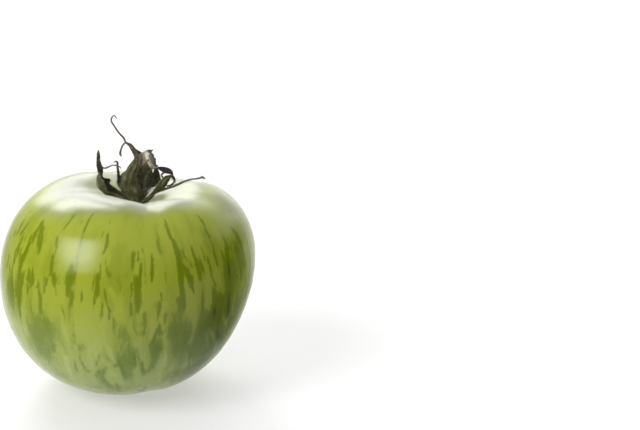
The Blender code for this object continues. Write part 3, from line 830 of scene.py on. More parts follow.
def skin_radius(colatitude, bearing):
    """Distance from heart to skin: a cubic in the cosine of the colatitude makes the tapered,
    flattened form, a squared product fills flank and shoulder, a cosine of the bearing leans the
    plan, and humps take away the pit, the scar and the creases."""
    cosine = np.cos(colatitude)
    sine = np.sin(colatitude)
    side = np.cos(bearing)
    full = FLANK_FULLNESS * (1 - cosine) / 2 + SHOULDER_FULLNESS * (1 + cosine) / 2
    round_form = 1 + TAPER * cosine + POLE_FLATTENING * cosine**2 + SHOULDER_DROP * cosine**3
    radius = MEAN_RADIUS * (round_form + full * (cosine * sine) ** 2)
    radius = radius * (1 + LOPSIDED * sine * side + LOPSIDED_BELOW * sine * cosine * side)
    radius = radius + BELLY_SHIFT * sine * side * ((1 - cosine) / 2) ** BELLY_POWER
    radius = radius - PIT_DEPTH * bell(colatitude, PIT_SPREAD)
    radius = radius - SCAR_DEPTH * bell(math.pi - colatitude, SCAR_SPREAD)
    return radius - crease_depth(colatitude, bearing)


def skin_point(colatitude, bearing):
    """The skin in a direction. Below the resting plane the height is blended to nothing by a
    parabola FLAT_BLEND tall, which leaves the small flat spot the fruit rests on."""
    radius = skin_radius(colatitude, bearing)
    wave = ripple(bearing, 2 * colatitude, SKIN_WAVE_SEED, SKIN_WAVE_RATES)
    radius = radius + SKIN_WAVE * wave * np.sin(colatitude) ** 2
    across = radius * np.sin(colatitude)
    height = HEART_HEIGHT + radius * np.cos(colatitude)
    blended = (height + FLAT_BLEND) ** 2 / (4 * FLAT_BLEND)
    height = np.where(height > FLAT_BLEND, height, np.where(height < -FLAT_BLEND, 0, blended))
    x = STEM_X + across * np.cos(bearing)
    y = across * np.sin(bearing)
    return np.stack(np.broadcast_arrays(x, y, height), -1)


def pit_centre():
    """The bottom of the stalk's pit, where places in the calyx are measured from."""
    radius = float(skin_radius(np.array(0.0), np.array(0.0)))
    return np.array((STEM_X, 0.0, HEART_HEIGHT + radius))


def unit(vectors):
    """Vectors divided by their lengths."""
    return vectors / np.linalg.norm(vectors, axis=-1, keepdims=True)


def round_angles(count):
    """Angles evenly spaced round a full turn."""
    return np.arange(count) * 2 * math.pi / count


def frames_along(places, facing):
    """Unit vectors across a line and facing out of it at each place: the facing is made square to
    the line's tangent."""
    along = unit(np.gradient(places, axis=0))
    facing = unit(facing - along * (facing * along).sum(-1, keepdims=True))
    return np.cross(along, facing), facing


def spanned(across, facing, right, up):
    """Each place's vectors across and facing, times a number each for every point of its ring."""
    return across[..., None, :] * right[..., None] + facing[..., None, :] * up[..., None]


def smooth_table(table, count):
    """A table's rows joined by a Catmull-Rom curve in all columns at once, read at count places
    evenly spaced by the straight distance between the rows' first three columns."""
    rows = np.array(table, float)
    steps = np.linalg.norm(np.diff(rows[:, :3], axis=0), axis=1)
    reached = np.concatenate([[0.0], np.cumsum(steps)])
    wanted = np.linspace(0.0, reached[-1], count)
    last = len(rows) - 1
    row = np.clip(np.searchsorted(reached, wanted, side="right") - 1, 0, last - 1)
    share = ((wanted - reached[row]) / steps[row])[:, None]
    before = rows[np.maximum(row - 1, 0)]
    start = rows[row]
    end = rows[row + 1]
    after = rows[np.minimum(row + 2, last)]
    curve = 2 * start + (end - before) * share
    curve += (2 * before - 5 * start + 4 * end - after) * share**2
    curve += (3 * start - before - 3 * end + after) * share**3
    return curve / 2


def closed_body(rings, first=None, last=None):
    """Points, quads and triangles of a body skinned over rings of points, rows by columns. Each
    ring joins the next, and a middle point closes each end. Faces are turned outwards by the sign
    of the enclosed volume."""
    rows, columns, _ = rings.shape
    first = rings[0].mean(0) if first is None else first
    last = rings[-1].mean(0) if last is None else last
    points = np.concatenate([rings.reshape(-1, 3), [first], [last]])
    index = np.arange(rows * columns).reshape(rows, columns)
    after = np.roll(index, -1, axis=1)
    quads = np.stack([index[:-1], after[:-1], after[1:], index[1:]], -1).reshape(-1, 4)
    foot = np.full(columns, rows * columns)
    foot_tris = np.stack([after[0], index[0], foot], -1)
    tip_tris = np.stack([index[-1], after[-1], foot + 1], -1)
    tris = np.concatenate([foot_tris, tip_tris])
    all_tris = np.concatenate([quads[:, :3], quads[:, [0, 2, 3]], tris])
    one, two, three = points[all_tris].swapaxes(0, 1)
    if (one * np.cross(two, three)).sum() < 0:
        quads = quads[:, ::-1]
        tris = tris[:, ::-1]
    return points, quads, tris


def with_ends(values):
    """A value for each point of a closed body: the rings' own, and each end ring's mean."""
    flat = values.reshape(-1, *values.shape[2:])
    return np.concatenate([flat, values[:1].mean(1), values[-1:].mean(1)])


def linked(name, data):
    """A new object of the scene."""
    made = bpy.data.objects.new(name, data)
    bpy.context.scene.collection.objects.link(made)
    return made


def put_in_scene(name, body, values, material, node, slot):
    """One smooth-shaded object from a body's points, quads and triangles, with values as point
    attributes. It rides on the part's body and replaces a node of the frame. Its slot is not used."""
    points, quads, tris = body
    corners = np.concatenate([quads.ravel(), tris.ravel()])
    starts = np.concatenate([np.arange(len(quads)) * 4, quads.size + np.arange(len(tris)) * 3])
    mesh = bpy.data.meshes.new(name)
    mesh.vertices.add(len(points))
    mesh.vertices.foreach_set("co", (points * MM).astype(np.float32).ravel())
    mesh.loops.add(len(corners))
    mesh.loops.foreach_set("vertex_index", corners.astype(np.int32))
    mesh.polygons.add(len(starts))
    mesh.polygons.foreach_set("loop_start", starts.astype(np.int32))
    mesh.update(calc_edges=True)
    if mesh.validate():
        raise RuntimeError(f"{name} has broken faces")
    mesh.shade_smooth()
    for key, array in values.items():
        kind, field = ("FLOAT_VECTOR", "vector") if array.ndim == 2 else ("FLOAT", "value")
        made = mesh.attributes.new(key, kind, "POINT")
        made.data.foreach_set(field, array.astype(np.float32).ravel())
    mesh.materials.append(material)
    piece = linked(name, mesh)
    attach(piece, BODY)
    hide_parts(node)
    # The wax is too dull to mirror the matt calyx.
    piece.visible_glossy = node != "calyx"


def put_rings(name, rings, values, material, node="calyx", slot="dried_calyx", ends=(None, None)):
    """A piece skinned over rings of points and closed at its ends, with values for the points."""
    shown = {key: with_ends(value) for key, value in values.items()}
    put_in_scene(name, closed_body(rings, *ends), shown, material, node, slot)


# Markings.


def stroke_field(bearing, colatitude, strokes):
    """The strongest of a set of strokes at each point, in degrees. A stroke falls off as a bell
    with the distance from its line, whose reach follows its widths from point to point, with a
    share of a bell twice as wide for a halo. Distances along it count for less than those across.
    Below the flank the strokes spread and weaken."""
    field = np.zeros(bearing.shape)
    low = np.clip((colatitude - SPREAD_FROM) / SPREAD_OVER, 0, 1)
    for strength, *points in strokes:
        for start, end in zip(points, points[1:]):
            run = np.subtract(end, start)
            away = (bearing - start[0] + 180) % 360 - 180
            down = colatitude - start[1]
            share = np.clip((away * run[0] + down * run[1]) / (run[:2] @ run[:2]), 0, 1)
            off = np.hypot(away - share * run[0], (down - share * run[1]) / ALONG)
            reach = (CORE_REACH + LOW_REACH * low) * (start[2] + run[2] * share) + LEAST_REACH
            shape = (1 - HALO) * bell(off, reach) + HALO * bell(off, 2 * reach + HALO_REACH)
            field = np.maximum(field, strength * (1 - LOW_LOSS * low) * shape)
    return field


def cloud_field(bearing, colatitude, clouds):
    """The sum of broad bells, each round a bearing and a colatitude, in degrees."""
    field = np.zeros(bearing.shape)
    for middle, level, reach_round, reach_down, strength in clouds:
        away = (bearing - middle + 180) % 360 - 180
        off = (away / reach_round) ** 2 + ((colatitude - level) / reach_down) ** 2
        field = field + strength * np.exp(-off)
    return field


def wild_marks(seed):
    """Dark strokes, pale flames and clouds for the bearings that the placed ones leave free, drawn
    from ranges that match them: thin above, broader below."""
    rng = np.random.default_rng(seed)
    top, foot = WILD_LEVELS
    cloud_top, cloud_foot = WILD_CLOUD_LEVELS

    def strokes(count, level, spread, lengths, widths, strengths):
        middle = rng.uniform(WILD_FROM, WILD_TO, count)
        start = np.clip(rng.normal(level, spread, count), top, foot)
        length = rng.uniform(*lengths, count)
        lean = rng.normal(0, 0.12, (2, count)) * length
        width = rng.uniform(*widths, count) * (0.7 + 0.6 * (start - top) / (foot - top))
        strength = rng.uniform(*strengths, count)
        near_front = np.minimum(middle - WILD_FROM, WILD_TO - middle) / WILD_FADE
        strength = strength * np.where(start < WILD_CROWN, np.clip(near_front, 0, 1), 1)
        bearings = middle, middle + lean[0], middle + lean[0] + lean[1]
        levels = start, start + 0.45 * length, start + length
        lines = np.array([bearings, levels, (0.5 * width, width, 0.4 * width)]).T
        return [(power, *line) for power, line in zip(strength, lines)]

    dark = strokes(WILD_STREAKS, 66, 20, (4, 20), (1.2, 4.4), (0.5, 1.05))
    flames = strokes(WILD_FLAMES, 92, 14, (8, 26), (2.2, 5.0), (0.5, 1.0))
    middle = rng.uniform(WILD_FROM, WILD_TO, WILD_CLOUDS)
    level = rng.uniform(cloud_top, cloud_foot, WILD_CLOUDS)
    reach = rng.uniform(5, 14, (2, WILD_CLOUDS))
    deeper = 0.5 + 0.6 * (level - cloud_top) / (cloud_foot - cloud_top)
    strength = rng.uniform(0.3, 0.65, WILD_CLOUDS) * deeper
    return dark, flames, np.stack([middle, level, *reach, strength], -1)


# Materials.


class Nodes:
    """Shader nodes of one tree, added and joined one line each."""

    def __init__(self, tree):
        self.tree = tree

    def node(self, kind, inputs=None, **settings):
        """A node of a kind with its settings; each input is a value or a socket to join to it."""
        made = self.tree.nodes.new(kind)
        for key, value in settings.items():
            setattr(made, key, value)
        for key, value in (inputs or {}).items():
            self.set(made.inputs[key], value)
        return made

    def set(self, socket, value):
        """Join a socket to another, or give it a value."""
        if isinstance(value, bpy.types.NodeSocket):
            self.tree.links.new(value, socket)
        elif hasattr(value, "__len__") and socket.type == "RGBA" and len(value) == 3:
            socket.default_value = (*value, 1.0)
        else:
            socket.default_value = value

    def attribute(self, name, output="Fac"):
        """One of the piece's own point attributes."""
        return self.node("ShaderNodeAttribute", attribute_name=name).outputs[output]

    def noise(self, vector, stretch, detail=2.0, roughness=0.5, output="Fac"):
        """Smooth noise, 0 to 1, of a vector scaled along each axis."""
        place = self.node("ShaderNodeMapping", {"Vector": vector, "Scale": stretch}).outputs[0]
        inputs = {"Vector": place, "Scale": 1.0, "Detail": detail, "Roughness": roughness}
        return self.node("ShaderNodeTexNoise", inputs).outputs[output]

    def math(self, operation, a, b):
        """Arithmetic on two numbers."""
        return self.node("ShaderNodeMath", {0: a, 1: b}, operation=operation).outputs[0]

    def times(self, a, b):
        """The product of two numbers."""
        return self.math("MULTIPLY", a, b)

    def total(self, first, *others):
        """The sum of some numbers."""
        for other in others:
            first = self.math("ADD", first, other)
        return first

    def vector(self, operation, a, b, output=0):
        """Arithmetic on two vectors."""
        made = self.node("ShaderNodeVectorMath", {0: a, 1: b}, operation=operation)
        return made.outputs[output]

    def around(self, noise, amount):
        """A noise's distance from its middle, times an amount."""
        return self.times(self.math("SUBTRACT", noise, 0.5), amount)

    def step(self, value, low, high, to_low=0.0, to_high=1.0):
        """A smooth step from one level to another as a value rises from low to high."""
        inputs = {"Value": value, 1: low, 2: high, 3: to_low, 4: to_high}
        made = self.node("ShaderNodeMapRange", inputs, interpolation_type="SMOOTHSTEP")
        return made.outputs[0]

    def between(self, share, a, b):
        """A number that goes from a to b as a share goes from 0 to 1."""
        return self.total(self.times(share, b - a), a)

    def blend(self, share, a, b):
        """Two colours mixed by a share."""
        inputs = {"Factor": share, 6: a, 7: b}
        return self.node("ShaderNodeMix", inputs, data_type="RGBA").outputs[2]


class Recipe(Nodes):
    """The nodes of one material."""

    def __init__(self, name):
        self.material = bpy.data.materials.new(name)
        self.material.use_nodes = True
        super().__init__(self.material.node_tree)
        self.shader = self.tree.nodes["Principled BSDF"]
        self.shader.inputs["Metallic"].default_value = 0.0

    def bump(self, height, strength, distance):
        """Relief for the shader from a height, in metres at full strength."""
        inputs = {"Height": height, "Strength": strength, "Distance": distance}
        self.set(self.shader.inputs["Normal"], self.node("ShaderNodeBump", inputs).outputs[0])

    def finish(self, **values):
        """Set or join the shader's own sockets; underscores stand for spaces in their names.
        Returns the material."""
        for key, value in values.items():
            self.set(self.shader.inputs[key.replace("_", " ")], value)
        return self.material


def skin_material(settings):
    """Waxy skin. The tone is the marks and clouds plus noise stretched along the meridians, and
    smooth steps of it pick flame, base, soft, core and darkest colours, each greyer below. A paler,
    greyer painted highlight lies round the pit down to the glare's lower edge, painted shade darkens
    the tops of the shoulders under the glare and the lower right side, and both poles are corky. The
    finest noise, the last in the table, also breaks up the specks."""
    mix = Recipe("striped tomato skin")
    meridian = mix.attribute("meridian", "Vector")
    level = mix.attribute("level")
    clouds = mix.attribute("clouds")
    wobble = mix.noise(meridian, (16, 16, 9), 3.0, 0.6, "Color")
    wobble = mix.vector("MULTIPLY", mix.vector("SUBTRACT", wobble, (0.5, 0.5, 0.5)), (0.07, 0.07, 0.10))
    flowing = mix.vector("ADD", meridian, wobble)
    bands = mix.noise(flowing, (9, 9, 1.2))
    grain = mix.noise(meridian, (160, 160, 120))
    tone = mix.total(mix.attribute("marks"), clouds, mix.step(level, *MARKS_BEGIN, MARKS_LESS, 0.0))
    for stretch, detail, roughness, share in EDGE_NOISE:
        flecks = mix.noise(flowing, stretch, detail, roughness)
        tone = mix.total(tone, mix.around(flecks, share))
    low = mix.step(level, *LOW_BEGINS)
    # Painted highlight: a paler, greyer colour round the pit, down to the glare's lower edge.
    light = mix.blend(mix.step(mix.attribute("painted_highlight"), -1.0, 1.0), settings.light, settings.painted_highlight)
    # Painted shade: a darker, greyer colour on top of the shoulders, under the glare.
    light = mix.blend(mix.attribute("wax"), light, settings.shoulder)
    flame = mix.blend(low, light, settings.flame)
    soft = mix.blend(low, settings.olive, settings.grey_olive)
    core = mix.blend(low, settings.dark, settings.grey_dark)
    band = mix.total(mix.step(bands, 0.45, 0.70, 0.0, 0.40), mix.times(clouds, 0.4))
    base = mix.blend(band, mix.blend(low, light, settings.pale), soft)
    soft_step = (mix.between(low, *ends) for ends in zip(SOFT_ABOVE, SOFT_BELOW))
    core_step = (mix.between(low, *ends) for ends in zip(CORE_ABOVE, CORE_BELOW))
    colour = mix.blend(mix.step(tone, *FLAME_STEP), flame, base)
    colour = mix.blend(mix.step(tone, *soft_step), colour, soft)
    colour = mix.blend(mix.step(tone, *core_step), colour, core)
    colour = mix.blend(mix.step(tone, *DARKEST_STEP), colour, settings.darkest)
    # Painted shade: every tone is darkened towards black on the lower right side and towards the
    # bottom.
    colour = mix.blend(mix.step(mix.attribute("shade"), 0.0, 1.0), colour, BLACK)
    rough_cork = mix.around(mix.noise(meridian, (30, 30, 30), 3.0, 0.65), 0.5)
    corky = mix.step(mix.total(mix.attribute("cork"), rough_cork), 0.45, 0.60)
    colour = mix.blend(corky, colour, CORK)
    specks = mix.total(mix.attribute("specks"), mix.around(flecks, 0.5))
    colour = mix.blend(mix.step(specks, 0.30, 0.60, 0.0, 0.75), colour, SPECK)
    near_stalk = mix.step(level, 0.10, 0.24, 0.05, 0.0)
    mix.bump(grain, 0.12, 0.0002)
    return mix.finish(
        Base_Color=colour,
        Roughness=mix.total(mix.around(grain, 0.10), mix.times(corky, 0.4), near_stalk, 0.17),
        Specular_IOR_Level=mix.step(mix.attribute("dull"), 0.0, 1.0, 0.5, 0.04),
        IOR=1.38,
        Subsurface_Weight=0.10,
        Subsurface_Radius=(0.8, 1.0, 0.25),
        Subsurface_Scale=0.0012,
    )


def calyx_material(name, settings):
    """Withered sepal: olive to brown, with dark furrows and paler ribs between fibres drawn out
    along its length, pale where the bark is bare, with painted shade on its inner face."""
    mix = Recipe(name)
    fibre = mix.attribute("fibre", "Vector")
    pale = mix.attribute("pale")
    long_fibres = mix.noise(fibre, (0.45, 4.5, 4.5), 3.0, 0.6)
    blotches = mix.noise(fibre, (0.8, 0.8, 0.8), 3.0, 0.6)
    fine = mix.noise(fibre, (2.5, 14, 14), 3.0, 0.6)
    dry = mix.total(mix.attribute("dry"), mix.around(blotches, 1.1))
    colour = mix.blend(mix.step(dry, 0.25, 0.85), settings.olive, settings.brown)
    colour = mix.blend(mix.step(long_fibres, 0.35, 0.68, 0.55, 0.0), colour, FURROW)
    raised = mix.total(mix.attribute("rib"), mix.around(long_fibres, 1.4))
    colour = mix.blend(mix.step(raised, 0.30, 1.10, 0.0, 0.75), colour, RIB)
    bare = mix.blend(mix.step(pale, 0.8, 1.0), settings.bark, FLUFF)
    colour = mix.blend(pale, colour, bare)
    # Painted shade: the sepals' inner faces are darkened.
    colour = mix.blend(mix.times(mix.attribute("inside"), 0.6), colour, INNER_FACE_SHADE)
    mix.bump(mix.total(long_fibres, mix.times(fine, 0.5)), 0.5, 0.0003)
    return mix.finish(
        Base_Color=colour,
        Roughness=0.72,
        Specular_IOR_Level=0.35,
        Sheen_Weight=0.12,
        Sheen_Roughness=0.5,
    )


def cut_material(settings):
    """The cut end: pale where the bark tore off on the near side, fibrous grey-green beyond."""
    mix = Recipe("torn stalk end")
    speck = mix.noise(mix.attribute("fibre", "Vector"), (3.0, 3.0, 3.0), 3.0, 0.65)
    rim = mix.total(mix.attribute("rim"), mix.around(speck, 0.5))
    colour = mix.blend(mix.step(rim, 0.72, 0.95), TORN_FIBRES, settings.cut)
    colour = mix.blend(mix.step(speck, 0.35, 0.55, 0.4, 0.0), colour, TORN_SPECKS)
    mix.bump(speck, 0.6, 0.0003)
    return mix.finish(Base_Color=colour, Roughness=0.85)


def hair_material():
    """Short pale hairs."""
    mix = Recipe("calyx hairs")
    tone = mix.noise(mix.attribute("fibre", "Vector"), (0.5, 0.5, 0.5), 1.0)
    return mix.finish(Base_Color=mix.blend(tone, HAIR_DARK, HAIR_LIGHT), Roughness=0.55)


# Pieces.


def skin_grid(settings):
    """Bearings and colatitudes of the skin's grid, poles left to the end points. Taking a share of
    their sine from even steps draws the columns together in front, and the rings on the flank."""
    turn = round_angles(settings.columns)
    bearing = turn - CLOSER * np.sin(turn) - math.pi / 2
    down = (np.arange(settings.rings) + 1) * math.pi / (settings.rings + 1)
    colatitude = down + CLOSER * np.sin(2 * down) / 2
    return np.meshgrid(bearing, colatitude)


def make_skin(settings):
    """The whole skin: every direction of a grid moved out to the skin's radius, with its marks and
    tones. The painted highlight round the pit ends at a level that comes further down on the lit side,
    by a power of a cosine."""
    bearing, colatitude = skin_grid(settings)
    place = np.degrees(bearing), np.degrees(colatitude)
    dark, flames, clouds = wild_marks(settings.seed)
    marks = stroke_field(*place, [*STREAKS, *dark])
    pale = stroke_field(*place, [*FLAMES, *flames])
    # The skin's noise is read round a circle that narrows to the poles, and along the colatitude.
    reach = 0.5 + 0.5 * np.sin(colatitude)
    # The painted highlight reaches furthest down on the lit side, to the glare's lower edge.
    lit_side = np.maximum(np.cos(bearing - CROWN_SIDE), 0) ** 4
    painted_highlight = (CROWN_LEVEL + CROWN_REACH * lit_side - place[1]) / CROWN_SOFT
    values = {
        "meridian": np.stack([reach * np.cos(bearing), reach * np.sin(bearing), colatitude], -1),
        "level": colatitude / math.pi,
        "marks": marks - FLAME_SHARE * pale,
        "painted_highlight": np.clip(painted_highlight, -1, 1) - cloud_field(*place, PIT_GREEN),
        "cork": bell(colatitude, CORK_TOP) + 0.9 * bell(math.pi - colatitude, CORK_FOOT),
        "clouds": cloud_field(*place, [*CLOUDS, *clouds]),
        "shade": cloud_field(*place, SHADES),
        "wax": cloud_field(*place, PAINTED_SHOULDER_SHADE),
        "dull": cloud_field(*place, DULL),
        "specks": cloud_field(*place, SPECKS),
    }
    rings = skin_point(colatitude, bearing)
    ends = pit_centre(), skin_point(np.array(math.pi), np.array(0.0))
    material = skin_material(settings)
    put_rings("fruit_skin", rings, values, material, "fruit", "striped_skin", ends)


def both_faces(inner, outer):
    """Values across a strip's inner face and then, backwards, its outer face."""
    return np.concatenate([inner, outer[:, ::-1]], axis=1)


def full_rows(table):
    """A table whose short rows are filled up from the row before them."""
    rows = [table[0]]
    for row in table[1:]:
        rows.append(row + rows[-1][len(row) :])
    return np.array(rows)


def blade_rings(table, thickness, seed, pale):
    """A sepal as a thin closed strip. Side runs across it from -1 to 1 along an arc whose half-angle
    is the curl: the sine of curl times side, over curl, gives the place across, one minus its
    cosine, over curl, the place up, both times half the width. Pleats follow a cosine of side,
    crinkles a ripple, and the wall thins to its margins. Returns rings of points, and the values
    for its material, where pale is 1 on a bleached sepal, which gets no painted shade on its inner
    face, or else 0."""
    rows = full_rows(table)
    length = np.linalg.norm(np.diff(rows[:, :3], axis=0), axis=1).sum()
    count = max(FEWEST_RINGS, int(length / SPACING))
    curve = smooth_table(rows, count)
    places = curve[:, :3] + pit_centre()
    across, facing = frames_along(places, curve[:, 5:8])
    width = np.maximum(curve[:, 3:4], NARROWEST)
    curl = np.clip(curve[:, 4:5], *CURLS)
    side, run = np.meshgrid(np.linspace(-1, 1, ACROSS), np.linspace(0, length, count))
    full = np.clip((width - RELIEF_FROM) / RELIEF_OVER, 0, 1)
    half = width / 2 * (1 + RAGGED * ripple(np.sign(side), run * 1.7, seed, rates=(1, 5)) * full)
    pleats = PLEATS * np.cos(math.pi * (2.5 * side + 0.25 * np.sin(run * 0.6 + seed))) * full
    relief = pleats + CRINKLES * ripple(side * 1.6, run * 0.9, seed + 50, rates=(1, 4)) * full
    angle = curl * side
    normal = spanned(across, facing, -np.sin(angle), np.cos(angle))
    arc = spanned(across, facing, half * np.sin(angle) / curl, half * (1 - np.cos(angle)) / curl)
    middle = places[:, None] + arc + normal * relief[..., None]
    wall = thickness / 2 * (0.35 + 0.65 * np.sqrt(1 - side**2))
    wall = normal * np.minimum(wall, half * 0.8)[..., None]
    spot = np.stack([run + 7.3 * seed, half * side, 0 * side], -1)
    dry = np.clip(1.25 - width / 2.2, 0, 1) + 0 * side
    rib = np.maximum(-relief / 0.2, 0.8 * side**6)
    values = {
        "fibre": both_faces(spot, spot + (0, 0, 3.0)),
        "dry": both_faces(dry, dry),
        "rib": both_faces(rib, rib),
        "inside": both_faces(0 * side + 1 - pale, 0 * side),
        "pale": both_faces(0 * side + pale, 0 * side + pale),
    }
    return both_faces(middle + wall, middle - wall), values


def sepal_rings(settings):
    """Each sepal's name, rings and values."""
    for seed, (name, table) in enumerate(SEPALS.items()):
        pale = float(name in PALE_SEPALS)
        yield name, *blade_rings(table, settings.thickness / MM, seed, pale)


def make_sepals(settings):
    """All the sepals, a piece each."""
    material = calyx_material("withered sepal", settings)
    for name, rings, values in sepal_rings(settings):
        put_rings("sepal_" + name, rings, values, material)


def make_hairs(settings):
    """The hairs over the stub and all the sepals, as one piece."""
    surfaces = [stub_rings()[0], *(rings for _, rings, _ in sepal_rings(settings))]
    body = hair_bodies(surfaces, settings)
    put_in_scene("calyx_hairs", body, {"fibre": body[0]}, hair_material(), "calyx", "dried_calyx")


def stub_rings():
    """The stub of stalk: circles carried along its line, their radius raised by uneven ribs, two
    cosines of the angle that drift with the length, and wrinkled by ripples."""
    curve = smooth_table(STUB, STUB_RINGS)
    places = curve[:, :3] + pit_centre()
    across, facing = frames_along(places, BACKWARD)
    turns, length = np.meshgrid(round_angles(STUB_COLUMNS), np.linspace(0, 1, STUB_RINGS))
    radius = curve[:, 3:4]
    ribs = 0.07 * np.cos(5 * turns + 0.8 * np.sin(3 * length)) + 0.03 * np.cos(11 * turns + 2 * length)
    wrinkles = 0.045 * ripple(turns, length * 8, seed=5, rates=(2, 9))
    wrinkles = wrinkles + 0.02 * ripple(turns, length * 30, seed=6, rates=(6, 22))
    relief = (ribs + wrinkles) * np.clip((radius - 0.5) / 1.5, 0, 1)
    reach = radius * (1 + relief)
    spokes = spanned(across, facing, np.cos(turns), np.sin(turns))
    wear = ripple(turns, length * 12, seed=9, rates=(2, 6))
    bare = np.clip((length - 0.60) / 0.30 + 0.3 * wear, 0, 1)
    values = {
        "fibre": np.stack([length * 16, reach * np.cos(turns), reach * np.sin(turns)], -1),
        "dry": np.clip(1.6 * length - 0.85, 0, 0.6),
        "rib": relief * 7,
        "inside": 0 * turns,
        "pale": 0.85 * bare * np.clip(0.35 + 0.8 * spokes[..., 2], 0, 1),
    }
    return places[:, None] + spokes * reach[..., None], values


def end_disc():
    """The torn cut: a shallow dish in the stub's last circle. Its height over the circle's plane is
    a rounded wall near the rim less a hollow in the middle, with teeth, a sharpened ripple of the
    angle, standing up from the wall's far side. A skirt turns down outside the rim to close it."""
    places = np.array(STUB[-2:])[:, :3] + pit_centre()
    axis = unit(places[1] - places[0])
    across, facing = frames_along(places, BACKWARD)
    turns, share = np.meshgrid(round_angles(DISC_COLUMNS), np.linspace(0.02, 1, DISC_ROWS))
    flare = 1.10 + 0.04 * ripple(turns, 0 * turns, seed=31, rates=(2, 9))
    out = STUB[-1][3] * flare * share
    teeth = np.maximum(ripple(turns, share * 0.6, seed=32, rates=(9, 26)), 0) ** 1.5
    far = 0.1 + 0.9 * (0.5 + 0.5 * np.sin(turns))
    height = WALL_HEIGHT * bell(share - 0.86, 0.17) - DISH_DEPTH * bell(share, 0.62)
    height = height + TEETH_HEIGHT * teeth * far * bell(share - 0.90, 0.14)
    fibres = 0.10 * ripple(turns, share * 14, seed=33, rates=(6, 30))
    height = height + fibres * (share > 0.1)
    height = height - 0.5 * np.clip((share - 0.95) / 0.05, 0, 1)
    spokes = spanned(across[1], facing[1], out * np.cos(turns), out * np.sin(turns))
    top = places[1] + spokes + axis * height[..., None]
    skirt = places[1] + spokes * 0.93 - axis * SKIRT_DEPTH
    flat = np.stack([out * np.cos(turns), out * np.sin(turns), height], -1)
    rim = 0.5 - 0.9 * share * np.sin(turns)
    values = {"fibre": flat, "rim": rim}
    values = {key: np.concatenate([each, each[::-4]]) for key, each in values.items()}
    return np.concatenate([top, skirt[::-4]]), values


def hair_bodies(surfaces, settings):
    """Hairs: at seeded random places of the surfaces, a three-sided needle of two lengths that
    leaves along the surface's normal and bends a little, with its root sunk in the surface."""
    rng = np.random.default_rng(HAIR_SEED)
    areas = np.array([np.linalg.norm(np.diff(rings, axis=0), axis=-1).sum() for rings in surfaces])
    shares = np.rint(settings.hairs * areas / areas.sum()).astype(int)
    roots, normals = [], []
    for rings, share in zip(surfaces, shares):
        rows, columns, _ = rings.shape
        row = rng.integers(1, rows - 1, share)
        column = rng.integers(0, columns, share)
        here = rings[row, column]
        down = rings[row + 1, column] - rings[row - 1, column]
        right = rings[row, (column + 1) % columns] - rings[row, column - 1]
        outward = np.cross(right, down)
        sign = np.sign((outward * (here - rings[row].mean(1))).sum(-1, keepdims=True))
        normals.append(unit(outward * np.where(sign == 0, 1, sign) + 1e-9))
        roots.append(here)
    root = np.concatenate(roots)
    count = len(root)
    direction = unit(np.concatenate(normals) + HAIR_LEAN * rng.normal(size=(count, 3)))
    bend = HAIR_BEND * rng.normal(size=(count, 3))
    length = settings.hair_length / MM * rng.uniform(HAIR_SHORTEST, 1.0, count)[:, None]
    side = unit(np.cross(direction, rng.normal(size=(count, 3))))
    angle = round_angles(3)
    circle = HAIR_RADIUS * spanned(side, np.cross(direction, side), np.cos(angle), np.sin(angle))
    foot = (root - direction * HAIR_ROOT)[:, None] + circle
    waist = (root + direction * length * HAIR_WAIST)[:, None] + circle * HAIR_WAIST_WIDTH
    tip = root + direction * length + bend * length
    points = np.concatenate([foot, waist, tip[:, None]], axis=1)
    pattern = np.array([(0, 1, 4, 3), (1, 2, 5, 4), (2, 0, 3, 5)])
    ends = np.array([(0, 2, 1), (3, 4, 6), (4, 5, 6), (5, 3, 6)])
    offset = (np.arange(count) * points.shape[1])[:, None, None]
    quads = (pattern + offset).reshape(-1, 4)
    tris = (ends + offset).reshape(-1, 3)
    return points.reshape(-1, 3), quads, tris


def make_stub(settings):
    """The stub of stalk and its torn end."""
    put_rings("stalk_stub", *stub_rings(), calyx_material("stalk bark", settings))
    put_rings("stalk_cut", *end_disc(), cut_material(settings))


# Stage.


def aimed(name, data, place, direction, turn):
    """An object that looks from a place along a direction, then is turned about its own axes."""
    made = linked(name, data)
    made.rotation_mode = "QUATERNION"
    made.rotation_quaternion = direction.to_track_quat("-Z", "Y") @ Euler(turn).to_quaternion()
    made.location = place
    return made


def soft_lamp(name, bearing, elevation, width, height, radiance, roll):
    """A rectangular lamp at a bearing from the camera's side and an elevation, aimed at the fruit
    and rolled round its aim. Its power is radiance times pi times its area."""
    turn = math.radians(bearing)
    rise = math.radians(elevation)
    level = math.cos(rise)
    out = Vector((math.sin(turn) * level, -math.cos(turn) * level, math.sin(rise)))
    lamp = bpy.data.lights.new(name, "AREA")
    lamp.shape = "RECTANGLE"
    lamp.size = width
    lamp.size_y = height
    lamp.energy = radiance * math.pi * width * height
    aimed(name, lamp, Vector(LAMP_AIM) + out * LAMP_DISTANCE, -out, (0, 0, math.radians(roll)))


def make_camera(settings):
    """The camera, turned so that the fruit's heart stands at its place in the picture: each angle is
    the arctangent of a distance over the focal length, both in pixels."""
    heart = Vector((STEM_X, 0.0, HEART_HEIGHT)) * MM
    back = Vector((0.0, -math.cos(settings.elevation), math.sin(settings.elevation)))
    data = bpy.data.cameras.new("camera")
    data.lens = settings.lens
    data.sensor_width = SENSOR
    data.clip_start = 0.01
    data.clip_end = 20.0
    focal = settings.lens / SENSOR * PICTURE[0]
    yaw = math.atan((PICTURE[0] / 2 - HEART_IN_PICTURE[0]) / focal)
    pitch = math.atan((HEART_IN_PICTURE[1] - PICTURE[1] / 2) / focal)
    place = heart + back * settings.distance
    bpy.context.scene.camera = aimed("camera", data, place, -back, (pitch, -yaw, 0))


